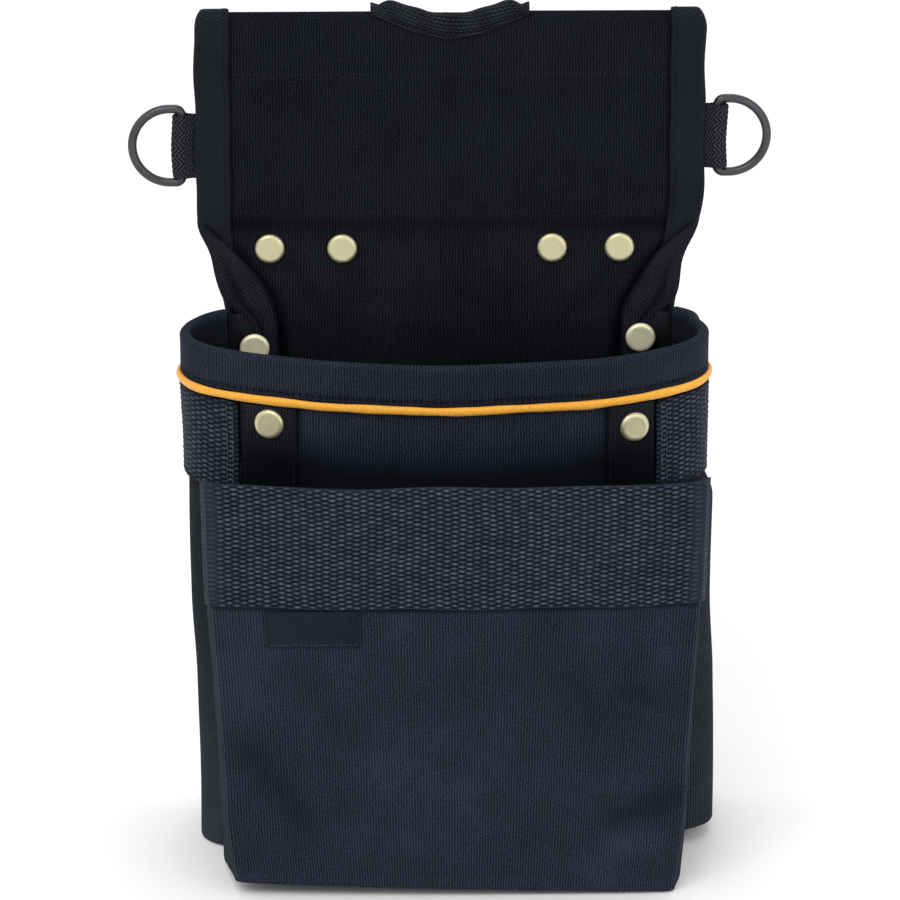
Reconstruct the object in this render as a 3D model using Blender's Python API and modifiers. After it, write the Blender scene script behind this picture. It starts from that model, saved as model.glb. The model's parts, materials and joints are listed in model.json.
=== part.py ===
"""Two-pocket tool pouch for a work belt, modelled as its sewn and riveted pieces.

X runs to the right, the front of the pouch faces -Y and +Z is up. The world origin is the
middle of the belt tunnel. Lengths below are in millimetres: x from the middle of the pouch,
y from the front surface of the back panel, z from the underside of the pouch.
"""
import math

import bmesh
import bpy
from mathutils import Vector

MM = 0.001

# Where the belt runs, and so where the world origin lies.
TUNNEL_Y = 7.5
TUNNEL_Z = 274.6

# Heights of the main features above the underside.
FOLD_TOP = 327.0
STITCH_UPPER = 302.5
STITCH_LOWER = 246.7
TOP_RIVET_Z = 232.0
INNER_RIVET_Z = 194.0
OUTER_RIVET_Z = 176.0
FLAP_END = 218.0
PATCH_BOTTOM = 149.0
WALL_FOOT = 1.5
FLOOR_THICK = 1.2

# How far the right ring and rivets sit above or below the left ones, halved.
RING_LIFT = 1.6
INNER_RIVET_LIFT = 1.8
OUTER_RIVET_LIFT = -1.2

# Cloth, tape and webbing.
CANVAS = 1.2
PANEL_CLOTH = 1.4
TAPE = 1.0
SEAM_TAPE = 0.9
WEBBING = 1.5
TAB_WEBBING = 1.3
BOARD = 1.6
GAP = 0.3
LAYER_GAP = 0.55
BINDING_LEG = 12.5
BINDING_LEG_WAIST = 19.0
COLLAR = 1.0
PIPING_RADIUS = 1.9

# Rings and rivets.
RING_BAR_X = 105.2
RING_BAR_Y = 4.45
RING_WIRE = 1.75
RING_ARC = 14.85
RING_ARC_X = 109.9
TAB_HALF_HEIGHT = 12.7
CAP_RADIUS = 5.9
STUD_RADIUS = 1.7
POST_RADIUS = 2.5
HOLE_RADIUS = 2.85
TOP_RIVET_X = (-71.4, -42.6, 40.3, 67.2)
INNER_RIVET_X = 76.5
INNER_RIVET_SHIFT = -1.0
OUTER_RIVET_U = {-1: 2.41, 1: 2.48}

# Main pocket seen from above, from the sewn flange on the back panel to the front middle.
RIM = [(68.5, -0.9), (80.0, -0.9), (88.5, -2.4), (98.0, -9.0), (103.5, -23.0), (98.0, -38.0),
       (83.0, -48.0), (60.0, -55.5), (30.0, -60.3), (0.0, -62.0)]
FLOOR = [(68.5, -0.9), (82.0, -0.9), (94.0, -2.4), (99.5, -8.0), (101.5, -24.0), (100.0, -42.0),
         (86.0, -52.0), (60.0, -55.0), (30.0, -56.0), (0.0, -56.0)]
FRONT = len(RIM) - 1
CORNER_U = FRONT - 2.0
STATIONS = (0.0, 0.5, 1.0, 1.5, 2.0, 2.4, 2.8, 3.2, 3.6, 4.0, 4.4, 4.8, 5.2, 5.6, 6.0, 6.4, 6.7,
            7.0, 7.3, 7.65, 8.0, 8.5, 9.0)

# Height against half width or depth.
PANEL_HALF_WIDTH = [(0.0, 92.5), (148.0, 89.0), (190.0, 87.5), (207.0, 87.7), (211.0, 88.5),
                    (221.0, 91.0), (229.0, 92.7), (238.0, 96.2), (243.0, 98.2), (252.0, 98.7)]
RIM_HEIGHT = [(0.0, 201.5), (2.5, 203.5), (5.0, 205.5), (7.0, 208.0)]
PIPING_HEIGHT = [(0.0, 184.0), (2.5, 186.5), (5.0, 188.5), (7.0, 190.5)]
CREASE_HALF_WIDTH = [(0.0, 84.7), (22.0, 89.0), (46.0, 89.4), (86.0, 91.9), (118.0, 94.1),
                     (170.5, 94.9)]
POCKET_FRONT = [(0.0, -102.5), (46.0, -102.0), (86.0, -101.0), (118.0, -102.0), (168.0, -108.5)]

# Where the front pocket's side is sewn to the main pocket's wall: it tucks in towards the bottom.
POCKET_FOOT = [(0.0, 5.75), (60.0, 5.6), (118.0, 5.35)]

# Heights of the front pocket's side edge, from where it is sewn under the side patch to its corner.
SIDE_SLOPE_FOOT = 118.0
SIDE_TOP = (147.0, 155.0, 163.0)


def remove_everything():
    for thing in list(bpy.data.objects):
        bpy.data.objects.remove(thing, do_unlink=True)


def world(x, y, z):
    return Vector((x, y - TUNNEL_Y, z - TUNNEL_Z)) * MM


def between(table, at):
    """Piecewise linear value from (place, value) rows."""
    if at <= table[0][0]:
        return table[0][1]
    for (a, low), (b, high) in zip(table, table[1:]):
        if at <= b:
            return low + (high - low) * (at - a) / (b - a)
    return table[-1][1]


def stations(first, last):
    """Places along the wall from first to last. Every piece shares them, so layers stay parallel."""
    marks = sorted({s * side for s in STATIONS for side in (-1, 1)})
    low, high = min(first, last), max(first, last)
    chosen = [low] + [m for m in marks if low + 0.08 < m < high - 0.08] + [high]
    return chosen if first < last else chosen[::-1]


# ---------------------------------------------------------------- materials

def make_material(name, colour, roughness, metallic=0.0):
    material = bpy.data.materials.new(name)
    material.use_nodes = True
    shader = material.node_tree.nodes["Principled BSDF"]
    shader.inputs["Base Color"].default_value = (*colour, 1.0)
    shader.inputs["Roughness"].default_value = roughness
    shader.inputs["Metallic"].default_value = metallic
    return material


# ---------------------------------------------------------------- objects

def add_object(name, data, material, collection):
    thing = bpy.data.objects.new(name, data)
    data.materials.append(material)
    collection.objects.link(thing)
    return thing


def mesh_from(name, points, faces):
    mesh = bpy.data.meshes.new(name)
    mesh.from_pydata([tuple(p) for p in points], [], faces)
    work = bmesh.new()
    work.from_mesh(mesh)
    bmesh.ops.recalc_face_normals(work, faces=work.faces)
    work.to_mesh(mesh)
    work.free()
    return mesh


def sheet(name, rows, thickness, material):
    """A cloth: a grid of points on its middle surface, thickened by Solidify."""
    width = len(rows[0])
    points = [p for row in rows for p in row]
    faces = []
    for i in range(len(rows) - 1):
        for j in range(width - 1):
            a = i * width + j
            faces.append((a, a + 1, a + width + 1, a + width))
    thing = add_object(name, mesh_from(name, points, faces), material, pouch)
    solid = thing.modifiers.new("Thickness", "SOLIDIFY")
    solid.thickness = thickness * MM
    solid.offset = 0.0
    solid.use_even_offset = True
    return thing


def band(name, sections, material):
    """A folded tape: closed sections carried along a line, with both ends capped."""
    count = len(sections[0])
    points = [p for section in sections for p in section]
    faces = []
    for i in range(len(sections) - 1):
        for j in range(count):
            a = i * count + j
            b = i * count + (j + 1) % count
            faces.append((a, b, b + count, a + count))
    faces.append(tuple(range(count)))
    last = (len(sections) - 1) * count
    faces.append(tuple(range(last, last + count)))
    return add_object(name, mesh_from(name, points, faces), material, pouch)


def tube(name, points, radius, material, cyclic=False):
    curve = bpy.data.curves.new(name, "CURVE")
    curve.dimensions = "3D"
    curve.bevel_depth = radius * MM
    curve.bevel_resolution = 2
    curve.use_fill_caps = not cyclic
    line = curve.splines.new("POLY")
    line.points.add(len(points) - 1)
    for spot, point in zip(line.points, points):
        spot.co = (*point, 1.0)
    line.use_cyclic_u = cyclic
    return add_object(name, curve, material, pouch)


def turned(name, profile, steps, material):
    """A round piece from a half profile of (radius, height), turned about local Z."""
    mesh = bpy.data.meshes.new(name)
    points = [(r * MM, 0.0, h * MM) for r, h in profile]
    edges = [(i, i + 1) for i in range(len(points) - 1)]
    mesh.from_pydata(points, edges, [])
    thing = add_object(name, mesh, material, pouch)
    spin = thing.modifiers.new("Turn", "SCREW")
    spin.steps = steps
    spin.render_steps = steps
    spin.use_merge_vertices = True
    spin.merge_threshold = 0.00001
    spin.use_normal_calculate = True
    return thing


def cutter_from(name, points, faces):
    tool = bpy.data.objects.new(name, mesh_from(name, points, faces))
    cutters.objects.link(tool)
    tool.hide_render = True
    tool.display_type = "WIRE"
    return tool


def cut(thing, tool):
    hole = thing.modifiers.new("Cut " + tool.name, "BOOLEAN")
    hole.operation = "DIFFERENCE"
    hole.solver = "EXACT"
    hole.object = tool


# ---------------------------------------------------------------- shape of the pockets

def outline(place, z, out=0.0):
    """Point of the main pocket's wall. place runs from 0 on the back panel to FRONT."""
    share = min(max(z / 188.0, 0.0), 1.0)

    def control(i):
        if i < 0:
            return 2.0 * control(0) - control(1)
        if i > FRONT:
            twin = control(2 * FRONT - i)
            return Vector((-twin.x, twin.y))
        return Vector(FLOOR[i]).lerp(Vector(RIM[i]), share)

    def along(s):
        i = min(int(math.floor(s)), FRONT - 1)
        t = s - i
        a, b, c, d = (control(k) for k in range(i - 1, i + 3))
        return 0.5 * (2 * b + (c - a) * t + (2 * a - 5 * b + 4 * c - d) * t * t
                      + (3 * b - a - 3 * c + d) * t * t * t)

    run = (along(min(place + 0.02, FRONT + 0.02)) - along(max(place - 0.02, 0.0))).normalized()
    return along(place) + Vector((-run.y, run.x)) * out


def wall(u, z, out=0.0):
    """Main pocket wall point for u from -FRONT (left) through 0 (front middle) to FRONT."""
    spot = outline(FRONT - abs(u), z, out)
    return world(spot.x if u >= 0 else -spot.x, spot.y, z)


def wall_normal(u, z):
    return (wall(u, z, 1.0) - wall(u, z, 0.0)).normalized()


def pocket_half(z, out=0.0):
    """Half outline of the front pocket, from the main pocket's side to the front middle."""
    foot = outline(between(POCKET_FOOT, z), z, 1.6)
    crease = between(CREASE_HALF_WIDTH, z)
    front = between(POCKET_FRONT, z)
    spots = [foot,
             Vector((foot.x * 0.66 + crease * 0.34 + 1.2, foot.y * 0.66 + front * 0.34)),
             Vector((foot.x * 0.33 + crease * 0.67 + 1.2, foot.y * 0.33 + front * 0.67)),
             Vector((crease + 0.3, front + 5.2)),
             Vector((crease - 0.7, front + 3.2)),
             Vector((crease - 3.0, front + 2.2)),
             Vector((crease * 0.75, front + 1.2)),
             Vector((crease * 0.4, front + 0.3)),
             Vector((0.0, front))]
    moved = []
    for i, spot in enumerate(spots):
        before = spots[i - 1] if i else spot
        after = spots[i + 1] if i + 1 < len(spots) else Vector((-spots[-2].x, spots[-2].y))
        run = (after - before).normalized()
        moved.append(spot + Vector((-run.y, run.x)) * out)
    return moved


def side_height(i, z):
    """Height of an outline place when the front is at z: the side's top edge slopes to the rear."""
    if i >= len(SIDE_TOP) or z <= SIDE_SLOPE_FOOT:
        return z
    full = mouth_height(95.0) - SIDE_SLOPE_FOOT
    return SIDE_SLOPE_FOOT + (z - SIDE_SLOPE_FOOT) * (SIDE_TOP[i] - SIDE_SLOPE_FOOT) / full


def pocket_row(z_at, out=0.0, first=0):
    """Whole front pocket outline from left to right. z_at gives the height at a half width."""
    half = []
    for i in range(first, 9):
        rough = pocket_half(z_at(0.0))[i]
        z = side_height(i, z_at(rough.x))
        spot = pocket_half(z, out)[i]
        half.append((spot.x, spot.y, z))
    left = [world(-x, y, z) for x, y, z in half]
    right = [world(x, y, z) for x, y, z in reversed(half[:-1])]
    return left + right


def panel_line():
    """Middle line of the back panel's cloth from the pocket bottom over the fold to the flap."""
    front_y = PANEL_CLOTH / 2
    radius = 2.15
    centre_z = FOLD_TOP - radius - front_y
    rear_y = front_y + 2 * radius
    line = [(front_y, z) for z in (WALL_FOOT, 60.0, 148.0, 190.0, 207.0, 214.0, 221.0, 229.0,
                                   238.0, 243.0, 252.0, 275.0, 302.5, centre_z)]
    for angle in (135.0, 90.0, 45.0):
        turn = math.radians(angle)
        line.append((front_y + radius + radius * math.cos(turn),
                     centre_z + radius * math.sin(turn)))
    line.append((rear_y, centre_z))
    line.append((rear_y, STITCH_UPPER + 1.0))
    for share in (0.04, 0.14, 0.3, 0.5, 0.7, 0.86, 0.96):
        z = STITCH_UPPER + (STITCH_LOWER - STITCH_UPPER) * share
        line.append((rear_y + 11.0 * math.sin(math.pi * share) ** 0.6, z))
    for z in (STITCH_LOWER - 1.0, 238.0, 229.0, FLAP_END):
        line.append((rear_y, z))
    return line


def line_normals(line):
    normals = []
    for i in range(len(line)):
        y0, z0 = line[max(i - 1, 0)]
        y1, z1 = line[min(i + 1, len(line) - 1)]
        length = math.hypot(y1 - y0, z1 - z0)
        normals.append((-(z1 - z0) / length, (y1 - y0) / length))
    return normals


# ---------------------------------------------------------------- back panel

def make_back_panel():
    rows = []
    for y, z in panel_line():
        half = between(PANEL_HALF_WIDTH, z)
        rows.append([world(half * share, y, z) for share in (-1.0, -0.5, 0.0, 0.5, 1.0)])
    return sheet("back_panel", rows, PANEL_CLOTH, canvas_black)


def make_edge_binding(side):
    line = panel_line()
    normals = line_normals(line)
    edge = PANEL_CLOTH / 2 + GAP
    outer = edge + TAPE
    sections = []
    for i, ((y, z), (ny, nz)) in enumerate(zip(line, normals)):
        if i < 5:
            continue
        half = between(PANEL_HALF_WIDTH, z)
        leg = BINDING_LEG
        if i < 9:
            leg = between([(214.0, BINDING_LEG_WAIST), (229.0, BINDING_LEG)], z)
        inner_leg = min(leg, BINDING_LEG)
        shape = [(half - leg, outer), (half + 0.6, outer), (half + GAP + TAPE, edge + 0.3),
                 (half + GAP + TAPE, -edge - 0.3), (half + 0.6, -outer),
                 (half - inner_leg, -outer), (half - inner_leg, -edge), (half + GAP, -edge),
                 (half + GAP, edge), (half - leg, edge)]
        sections.append([world(side * x, y + ny * n, z + nz * n) for x, n in shape])
    name = "edge_binding_left" if side < 0 else "edge_binding_right"
    return band(name, sections, tape_black)


def make_notch_binding():
    tops = [(0.0, 325.4), (10.0, 326.9), (16.0, 329.0), (22.5, 330.8), (26.0, 329.6), (30.0, 328.3)]
    lows = [(0.0, 316.6), (6.0, 317.0), (16.0, 320.0), (24.0, 322.8), (30.0, 325.0)]
    front = -GAP - TAPE
    rear = 2 * PANEL_CLOTH + 2.9 + GAP + TAPE
    sections = []
    for x in (-30, -26, -22.5, -16, -10, -5, 0, 5, 10, 16, 22.5, 26, 30):
        top = between(tops, abs(x))
        low = between(lows, abs(x))
        shape = [(front, low), (front, top - 1.9), (front + 1.9, top), (rear - 1.9, top),
                 (rear, top - 1.9), (rear, low), (rear - TAPE, low), (rear - TAPE, top - 2.1),
                 (rear - 2.2, top - TAPE), (front + 2.2, top - TAPE), (front + TAPE, top - 2.1),
                 (front + TAPE, low)]
        sections.append([world(x, y, z) for y, z in shape])
    return band("notch_binding", sections, tape_black)


def make_notch_cutter():
    points = []
    for x in (-24.0, -12.0, 0.0, 12.0, 24.0):
        low = 323.2 + 4.2 * (x / 24.0) ** 2
        for y, z in ((-4.0, low), (-4.0, 340.0), (10.0, 340.0), (10.0, low)):
            points.append(world(x, y, z))
    faces = []
    for i in range(4):
        for j in range(4):
            a = 4 * i + j
            b = 4 * i + (j + 1) % 4
            faces.append((a, b, b + 4, a + 4))
    faces.append((0, 1, 2, 3))
    faces.append((16, 17, 18, 19))
    return cutter_from("notch_cutter", points, faces)


def make_board():
    y = PANEL_CLOTH + GAP + BOARD / 2
    rows = []
    for z in (8.0, 40.0, 100.0, 148.0, 190.0, 201.0):
        half = between(PANEL_HALF_WIDTH, z) - 4.0
        rows.append([world(half * share, y, z) for share in (-1.0, 0.0, 1.0)])
    return sheet("back_board", rows, BOARD, board_grey)


def make_lining():
    close = PANEL_CLOTH + GAP + CANVAS / 2
    far = close + BOARD + GAP
    depth = [(203.0, far), (209.0, far - 0.6), (215.0, close + 0.3), (219.0, close)]
    rows = []
    for z in (WALL_FOOT, 60.0, 148.0, 190.0, 203.0, 209.0, 215.0, 219.0, 242.0):
        half = between(PANEL_HALF_WIDTH, z)
        if z > 207.0:
            half = min(half, between(PANEL_HALF_WIDTH, 207.0)) - BINDING_LEG
        y = between(depth, z)
        rows.append([world(half * share, y, z) for share in (-1.0, 0.0, 1.0)])
    return sheet("back_lining", rows, CANVAS, lining_black)


# ---------------------------------------------------------------- rings and tabs

def make_tab(side):
    centre = Vector((RING_BAR_X, RING_BAR_Y))
    inner = RING_WIRE + GAP
    outer = inner + TAB_WEBBING
    angles = [math.radians(a) for a in (-130, -95, -60, -30, 0, 30, 60, 95, 130)]
    start = 87.5
    shape = [(start, RING_BAR_Y - 0.15 - TAB_WEBBING), (101.4, RING_BAR_Y - 0.15 - TAB_WEBBING)]
    shape += [(centre.x + outer * math.cos(a), centre.y + outer * math.sin(a)) for a in angles]
    shape += [(101.4, RING_BAR_Y + 0.15 + TAB_WEBBING), (start, RING_BAR_Y + 0.15 + TAB_WEBBING)]
    shape += [(start, RING_BAR_Y + 0.15), (102.4, RING_BAR_Y + 0.15)]
    shape += [(centre.x + inner * math.cos(a), centre.y + inner * math.sin(a))
              for a in reversed(angles)]
    shape += [(102.4, RING_BAR_Y - 0.15), (start, RING_BAR_Y - 0.15)]
    middle = TUNNEL_Z + side * RING_LIFT
    sections = [[world(side * x, y, middle + h) for x, y in shape]
                for h in (-TAB_HALF_HEIGHT, TAB_HALF_HEIGHT)]
    return band("ring_tab_left" if side < 0 else "ring_tab_right", sections, tape_black)


def make_ring(side):
    """D-ring drawn about its own straight bar, which is the object's origin and hinge axis."""
    points = []
    bend = 2.6
    for angle in (180, 210, 240, 270):
        turn = math.radians(angle)
        points.append((bend + bend * math.cos(turn), -RING_ARC + bend + bend * math.sin(turn)))
    reach = RING_ARC_X - RING_BAR_X
    for i in range(17):
        turn = math.radians(-90.0 + 180.0 * i / 16)
        points.append((reach + RING_ARC * math.cos(turn), RING_ARC * math.sin(turn)))
    for angle in (90, 120, 150, 180):
        turn = math.radians(angle)
        points.append((bend + bend * math.cos(turn), RING_ARC - bend + bend * math.sin(turn)))
    line = [Vector((side * x, 0.0, z)) * MM for x, z in points]
    ring = tube("d_ring_left" if side < 0 else "d_ring_right", line, RING_WIRE, ring_metal, True)
    ring.location = world(side * RING_BAR_X, RING_BAR_Y, TUNNEL_Z + side * RING_LIFT)
    return ring


# ---------------------------------------------------------------- main pocket

def make_gusset(side):
    rows = []
    for share in (0.0, 0.2, 0.45, 0.7, 0.86, 1.0):
        row = []
        for u in stations(FRONT, 2.86):
            top = between(RIM_HEIGHT, u) - 2.3
            row.append(wall(side * u, WALL_FOOT + (top - WALL_FOOT) * share))
        rows.append(row)
    name = "main_gusset_left" if side < 0 else "main_gusset_right"
    return sheet(name, rows, CANVAS, canvas_black)


def make_front_panel():
    rows = []
    for share in (0.0, 0.2, 0.45, 0.7, 0.86, 1.0):
        row = []
        for u in stations(-2.8, 2.8):
            top = between(RIM_HEIGHT, abs(u)) - 2.3
            row.append(wall(u, WALL_FOOT + (top - WALL_FOOT) * share))
        rows.append(row)
    return sheet("main_front_panel", rows, CANVAS, canvas_navy)


def make_main_bottom():
    ring = []
    for u in stations(-CORNER_U, CORNER_U):
        spot = wall(u, 0.0, CANVAS / 2)
        ring.append((spot.x, spot.y))
    rear = (PANEL_CLOTH + 2 * GAP + BOARD + CANVAS - TUNNEL_Y) * MM
    ring.append((ring[-1][0] - 1.0 * MM, rear))
    ring.append((ring[0][0] + 1.0 * MM, rear))
    return floor_piece("main_bottom", ring)


def floor_piece(name, ring):
    low = world(0.0, 0.0, 0.0).z
    high = world(0.0, 0.0, FLOOR_THICK).z
    sections = [[Vector((x, y, z)) for x, y in ring] for z in (low, high)]
    return band(name, sections, canvas_navy)


def make_collar():
    """Band folded over the rim, seen in section as a narrow arch over the wall's top edge."""
    inner = CANVAS / 2 + LAYER_GAP
    outer = inner + COLLAR
    sections = []
    for u in stations(-6.7, 6.7):
        top = between(RIM_HEIGHT, abs(u))
        low = between(PIPING_HEIGHT, abs(u)) + PIPING_RADIUS + 0.5
        shape = [(outer, low), (outer, top - 1.7), (outer * 0.6, top - 0.3), (-outer * 0.6, top - 0.3),
                 (-outer, top - 1.7), (-outer, low), (-inner, low), (-inner, top - 1.9),
                 (inner, top - 1.9), (inner, low)]
        sections.append([wall(u, z, n) for n, z in shape])
    return band("main_collar", sections, canvas_black)


def make_piping():
    reach = CANVAS / 2 + LAYER_GAP + PIPING_RADIUS
    points = [wall(u, between(PIPING_HEIGHT, abs(u)), reach) for u in stations(-6.6, 6.6)]
    return tube("main_piping", points, PIPING_RADIUS, piping_orange)


def make_side_webbing(side):
    out = CANVAS / 2 + LAYER_GAP + WEBBING / 2
    rows = []
    for share in (0.0, 0.5, 1.0):
        row = []
        for u in stations(6.5, 2.95):
            top = between(PIPING_HEIGHT, u) - PIPING_RADIUS - 0.6
            row.append(wall(side * u, PATCH_BOTTOM + (top - PATCH_BOTTOM) * share, out))
        rows.append(row)
    name = "side_webbing_left" if side < 0 else "side_webbing_right"
    return sheet(name, rows, WEBBING, webbing_navy)


def make_front_seam_tape(side):
    out = CANVAS / 2 + LAYER_GAP + SEAM_TAPE / 2
    rows = []
    for share in (0.0, 0.2, 0.45, 0.7, 0.86, 1.0):
        row = []
        for u in (2.0, 2.4, 2.8, 2.9):
            top = between(PIPING_HEIGHT, u) - PIPING_RADIUS - 0.6
            row.append(wall(side * u, 8.0 + (top - 8.0) * share, out))
        rows.append(row)
    name = "front_seam_tape_left" if side < 0 else "front_seam_tape_right"
    return sheet(name, rows, SEAM_TAPE, tape_black)


def make_back_seam_tape(side):
    """Tape over the gusset's flange and a little way round the corner, inside the pocket."""
    out = -(CANVAS / 2 + LAYER_GAP + SEAM_TAPE / 2)
    rows = []
    for z in (8.0, 100.0, 180.0, 200.0, 207.0):
        rows.append([wall(side * (FRONT - place), z, out) for place in (0.0, 0.5, 1.0, 1.35, 1.7)])
    name = "back_seam_tape_left" if side < 0 else "back_seam_tape_right"
    return sheet(name, rows, SEAM_TAPE, tape_black)


# ---------------------------------------------------------------- front pocket

def mouth_height(x):
    return 168.0 + 2.5 * (x / 95.0) ** 2


def band_foot(x):
    return 117.5 + 1.1 * (x / 95.0) ** 2


def make_pocket_panel():
    rows = []
    for level in (WALL_FOOT, 12.0, 22.0, 46.0, 86.0):
        rows.append(pocket_row(lambda x, level=level: level))
    rows.append(pocket_row(band_foot))
    rows.append(pocket_row(lambda x: 0.5 * (mouth_height(x) + band_foot(x))))
    rows.append(pocket_row(lambda x: mouth_height(x) - 0.6))
    return sheet("front_pocket_panel", rows, CANVAS, canvas_navy)


def make_pocket_webbing():
    out = CANVAS / 2 + GAP + WEBBING / 2
    rows = []
    for share in (0.0, 0.33, 0.67, 1.0):
        def height(x, share=share):
            return band_foot(x) + (mouth_height(x) - band_foot(x)) * share
        rows.append(pocket_row(height, out, 3))
    return sheet("front_pocket_webbing", rows, WEBBING, webbing_navy)


def make_pocket_bottom():
    front = [world(p.x, p.y, 0.0) for p in pocket_half(0.0, CANVAS / 2)]
    ring = [(-p.x, p.y) for p in front] + [(p.x, p.y) for p in reversed(front[:-1])]
    behind = [wall(u, 0.0, CANVAS / 2 + 0.5) for u in stations(3.6, -3.6)]
    ring += [(p.x, p.y) for p in behind]
    return floor_piece("front_pocket_bottom", ring)


def make_tag():
    out = CANVAS / 2 + GAP + 0.35
    rows = []
    for z in (101.3, 109.0, 116.6):
        row = []
        for x in (-73.0, -61.0, -48.0, -36.5):
            half = pocket_half(z, out)
            y = between([(-p.x, p.y) for p in half], x)
            row.append(world(x, y - 0.15, z))
        rows.append(row)
    return sheet("woven_tag", rows, 0.7, tag_dark)


# ---------------------------------------------------------------- rivets

def make_rivet(label, spot, facing, grip):
    """Cap with stud outside, disc with post inside. spot is on the outer cloth surface."""
    angle = math.atan2(facing.x, -facing.y)
    deep = -grip - 0.2
    cap = turned("rivet_cap_" + label,
                 [(0.0, 2.1), (3.4, 2.0), (4.9, 1.6), (CAP_RADIUS, 0.8), (CAP_RADIUS - 0.3, 0.2),
                  (STUD_RADIUS, 0.2), (STUD_RADIUS, deep + 0.6), (0.0, deep + 0.6)],
                 18, rivet_brass)
    post = turned("rivet_post_" + label,
                  [(0.0, deep), (2.0, deep), (2.0, -0.1), (POST_RADIUS, -0.1),
                   (POST_RADIUS, deep), (5.2, deep), (5.4, deep - 0.7), (4.6, deep - 1.2),
                   (0.0, deep - 1.2)], 16, rivet_brass)
    for piece in (cap, post):
        piece.location = spot
        piece.rotation_euler = (math.pi / 2, 0.0, angle)
    points = []
    for h in (8.0, -16.0):
        for i in range(12):
            turn = math.tau * i / 12
            local = Vector((HOLE_RADIUS * math.cos(turn), HOLE_RADIUS * math.sin(turn), h)) * MM
            local = Vector((local.x, -local.z, local.y))
            local.rotate(Vector((0.0, 0.0, 1.0)).to_track_quat("Z", "Y"))
            x = local.x * math.cos(angle) - local.y * math.sin(angle)
            y = local.x * math.sin(angle) + local.y * math.cos(angle)
            points.append(spot + Vector((x, y, local.z)))
    faces = [(i, (i + 1) % 12, 12 + (i + 1) % 12, 12 + i) for i in range(12)]
    faces.append(tuple(range(12)))
    faces.append(tuple(range(12, 24)))
    return cutter_from("hole_" + label, points, faces)


def pierce(tool, *things):
    for thing in things:
        cut(thing, tool)


# ---------------------------------------------------------------- build

remove_everything()
pouch = bpy.data.collections.new("tool_pouch")
cutters = bpy.data.collections.new("cutters")
for group in (pouch, cutters):
    bpy.context.scene.collection.children.link(group)

canvas_navy = make_material("canvas_navy", (0.018, 0.021, 0.035), 0.9)
canvas_black = make_material("canvas_black", (0.008, 0.009, 0.014), 0.92)
lining_black = make_material("lining_black", (0.010, 0.010, 0.012), 0.9)
tape_black = make_material("tape_black", (0.009, 0.009, 0.012), 0.85)
webbing_navy = make_material("webbing_navy", (0.014, 0.016, 0.027), 0.8)
piping_orange = make_material("piping_orange", (0.80, 0.36, 0.10), 0.6)
board_grey = make_material("board_grey", (0.05, 0.05, 0.05), 0.55)
ring_metal = make_material("ring_metal", (0.035, 0.035, 0.038), 0.42, 0.7)
rivet_brass = make_material("rivet_brass", (0.72, 0.66, 0.45), 0.3, 1.0)
tag_dark = make_material("tag_dark", (0.02, 0.02, 0.03), 0.85)

back_panel = make_back_panel()
cut(back_panel, make_notch_cutter())
board = make_board()
lining = make_lining()
make_notch_binding()
gussets = {}
back_tapes = {}
front_tapes = {}
for side in (-1, 1):
    make_edge_binding(side)
    make_tab(side)
    make_ring(side)
    gussets[side] = make_gusset(side)
    make_side_webbing(side)
    front_tapes[side] = make_front_seam_tape(side)
    back_tapes[side] = make_back_seam_tape(side)
front_panel = make_front_panel()
make_main_bottom()
make_collar()
make_piping()
make_pocket_panel()
make_pocket_webbing()
make_pocket_bottom()
make_tag()

forward = Vector((0.0, -1.0, 0.0))
panel_grip = 2 * PANEL_CLOTH + 2.9
for number, x in enumerate(TOP_RIVET_X, start=1):
    hole = make_rivet("top_" + str(number), world(x, 0.0, TOP_RIVET_Z), forward, panel_grip)
    pierce(hole, back_panel, lining)
tape_face = RIM[0][1] - CANVAS / 2 - LAYER_GAP - SEAM_TAPE
wall_grip = CANVAS + LAYER_GAP + SEAM_TAPE
for side, word in ((-1, "left"), (1, "right")):
    spot = world(side * INNER_RIVET_X + INNER_RIVET_SHIFT, tape_face, INNER_RIVET_Z + side * INNER_RIVET_LIFT)
    grip = PANEL_CLOTH + BOARD + CANVAS + 2 * GAP - tape_face
    hole = make_rivet("inner_" + word, spot, forward, grip)
    pierce(hole, back_panel, board, lining, gussets[side], back_tapes[side])
    height = OUTER_RIVET_Z + side * OUTER_RIVET_LIFT
    spot = wall(side * OUTER_RIVET_U[side], height, CANVAS / 2 + LAYER_GAP + SEAM_TAPE)
    facing = wall_normal(side * OUTER_RIVET_U[side], height)
    hole = make_rivet("outer_" + word, spot, facing, wall_grip)
    pierce(hole, front_panel, front_tapes[side])
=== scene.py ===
import json
import math

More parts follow.
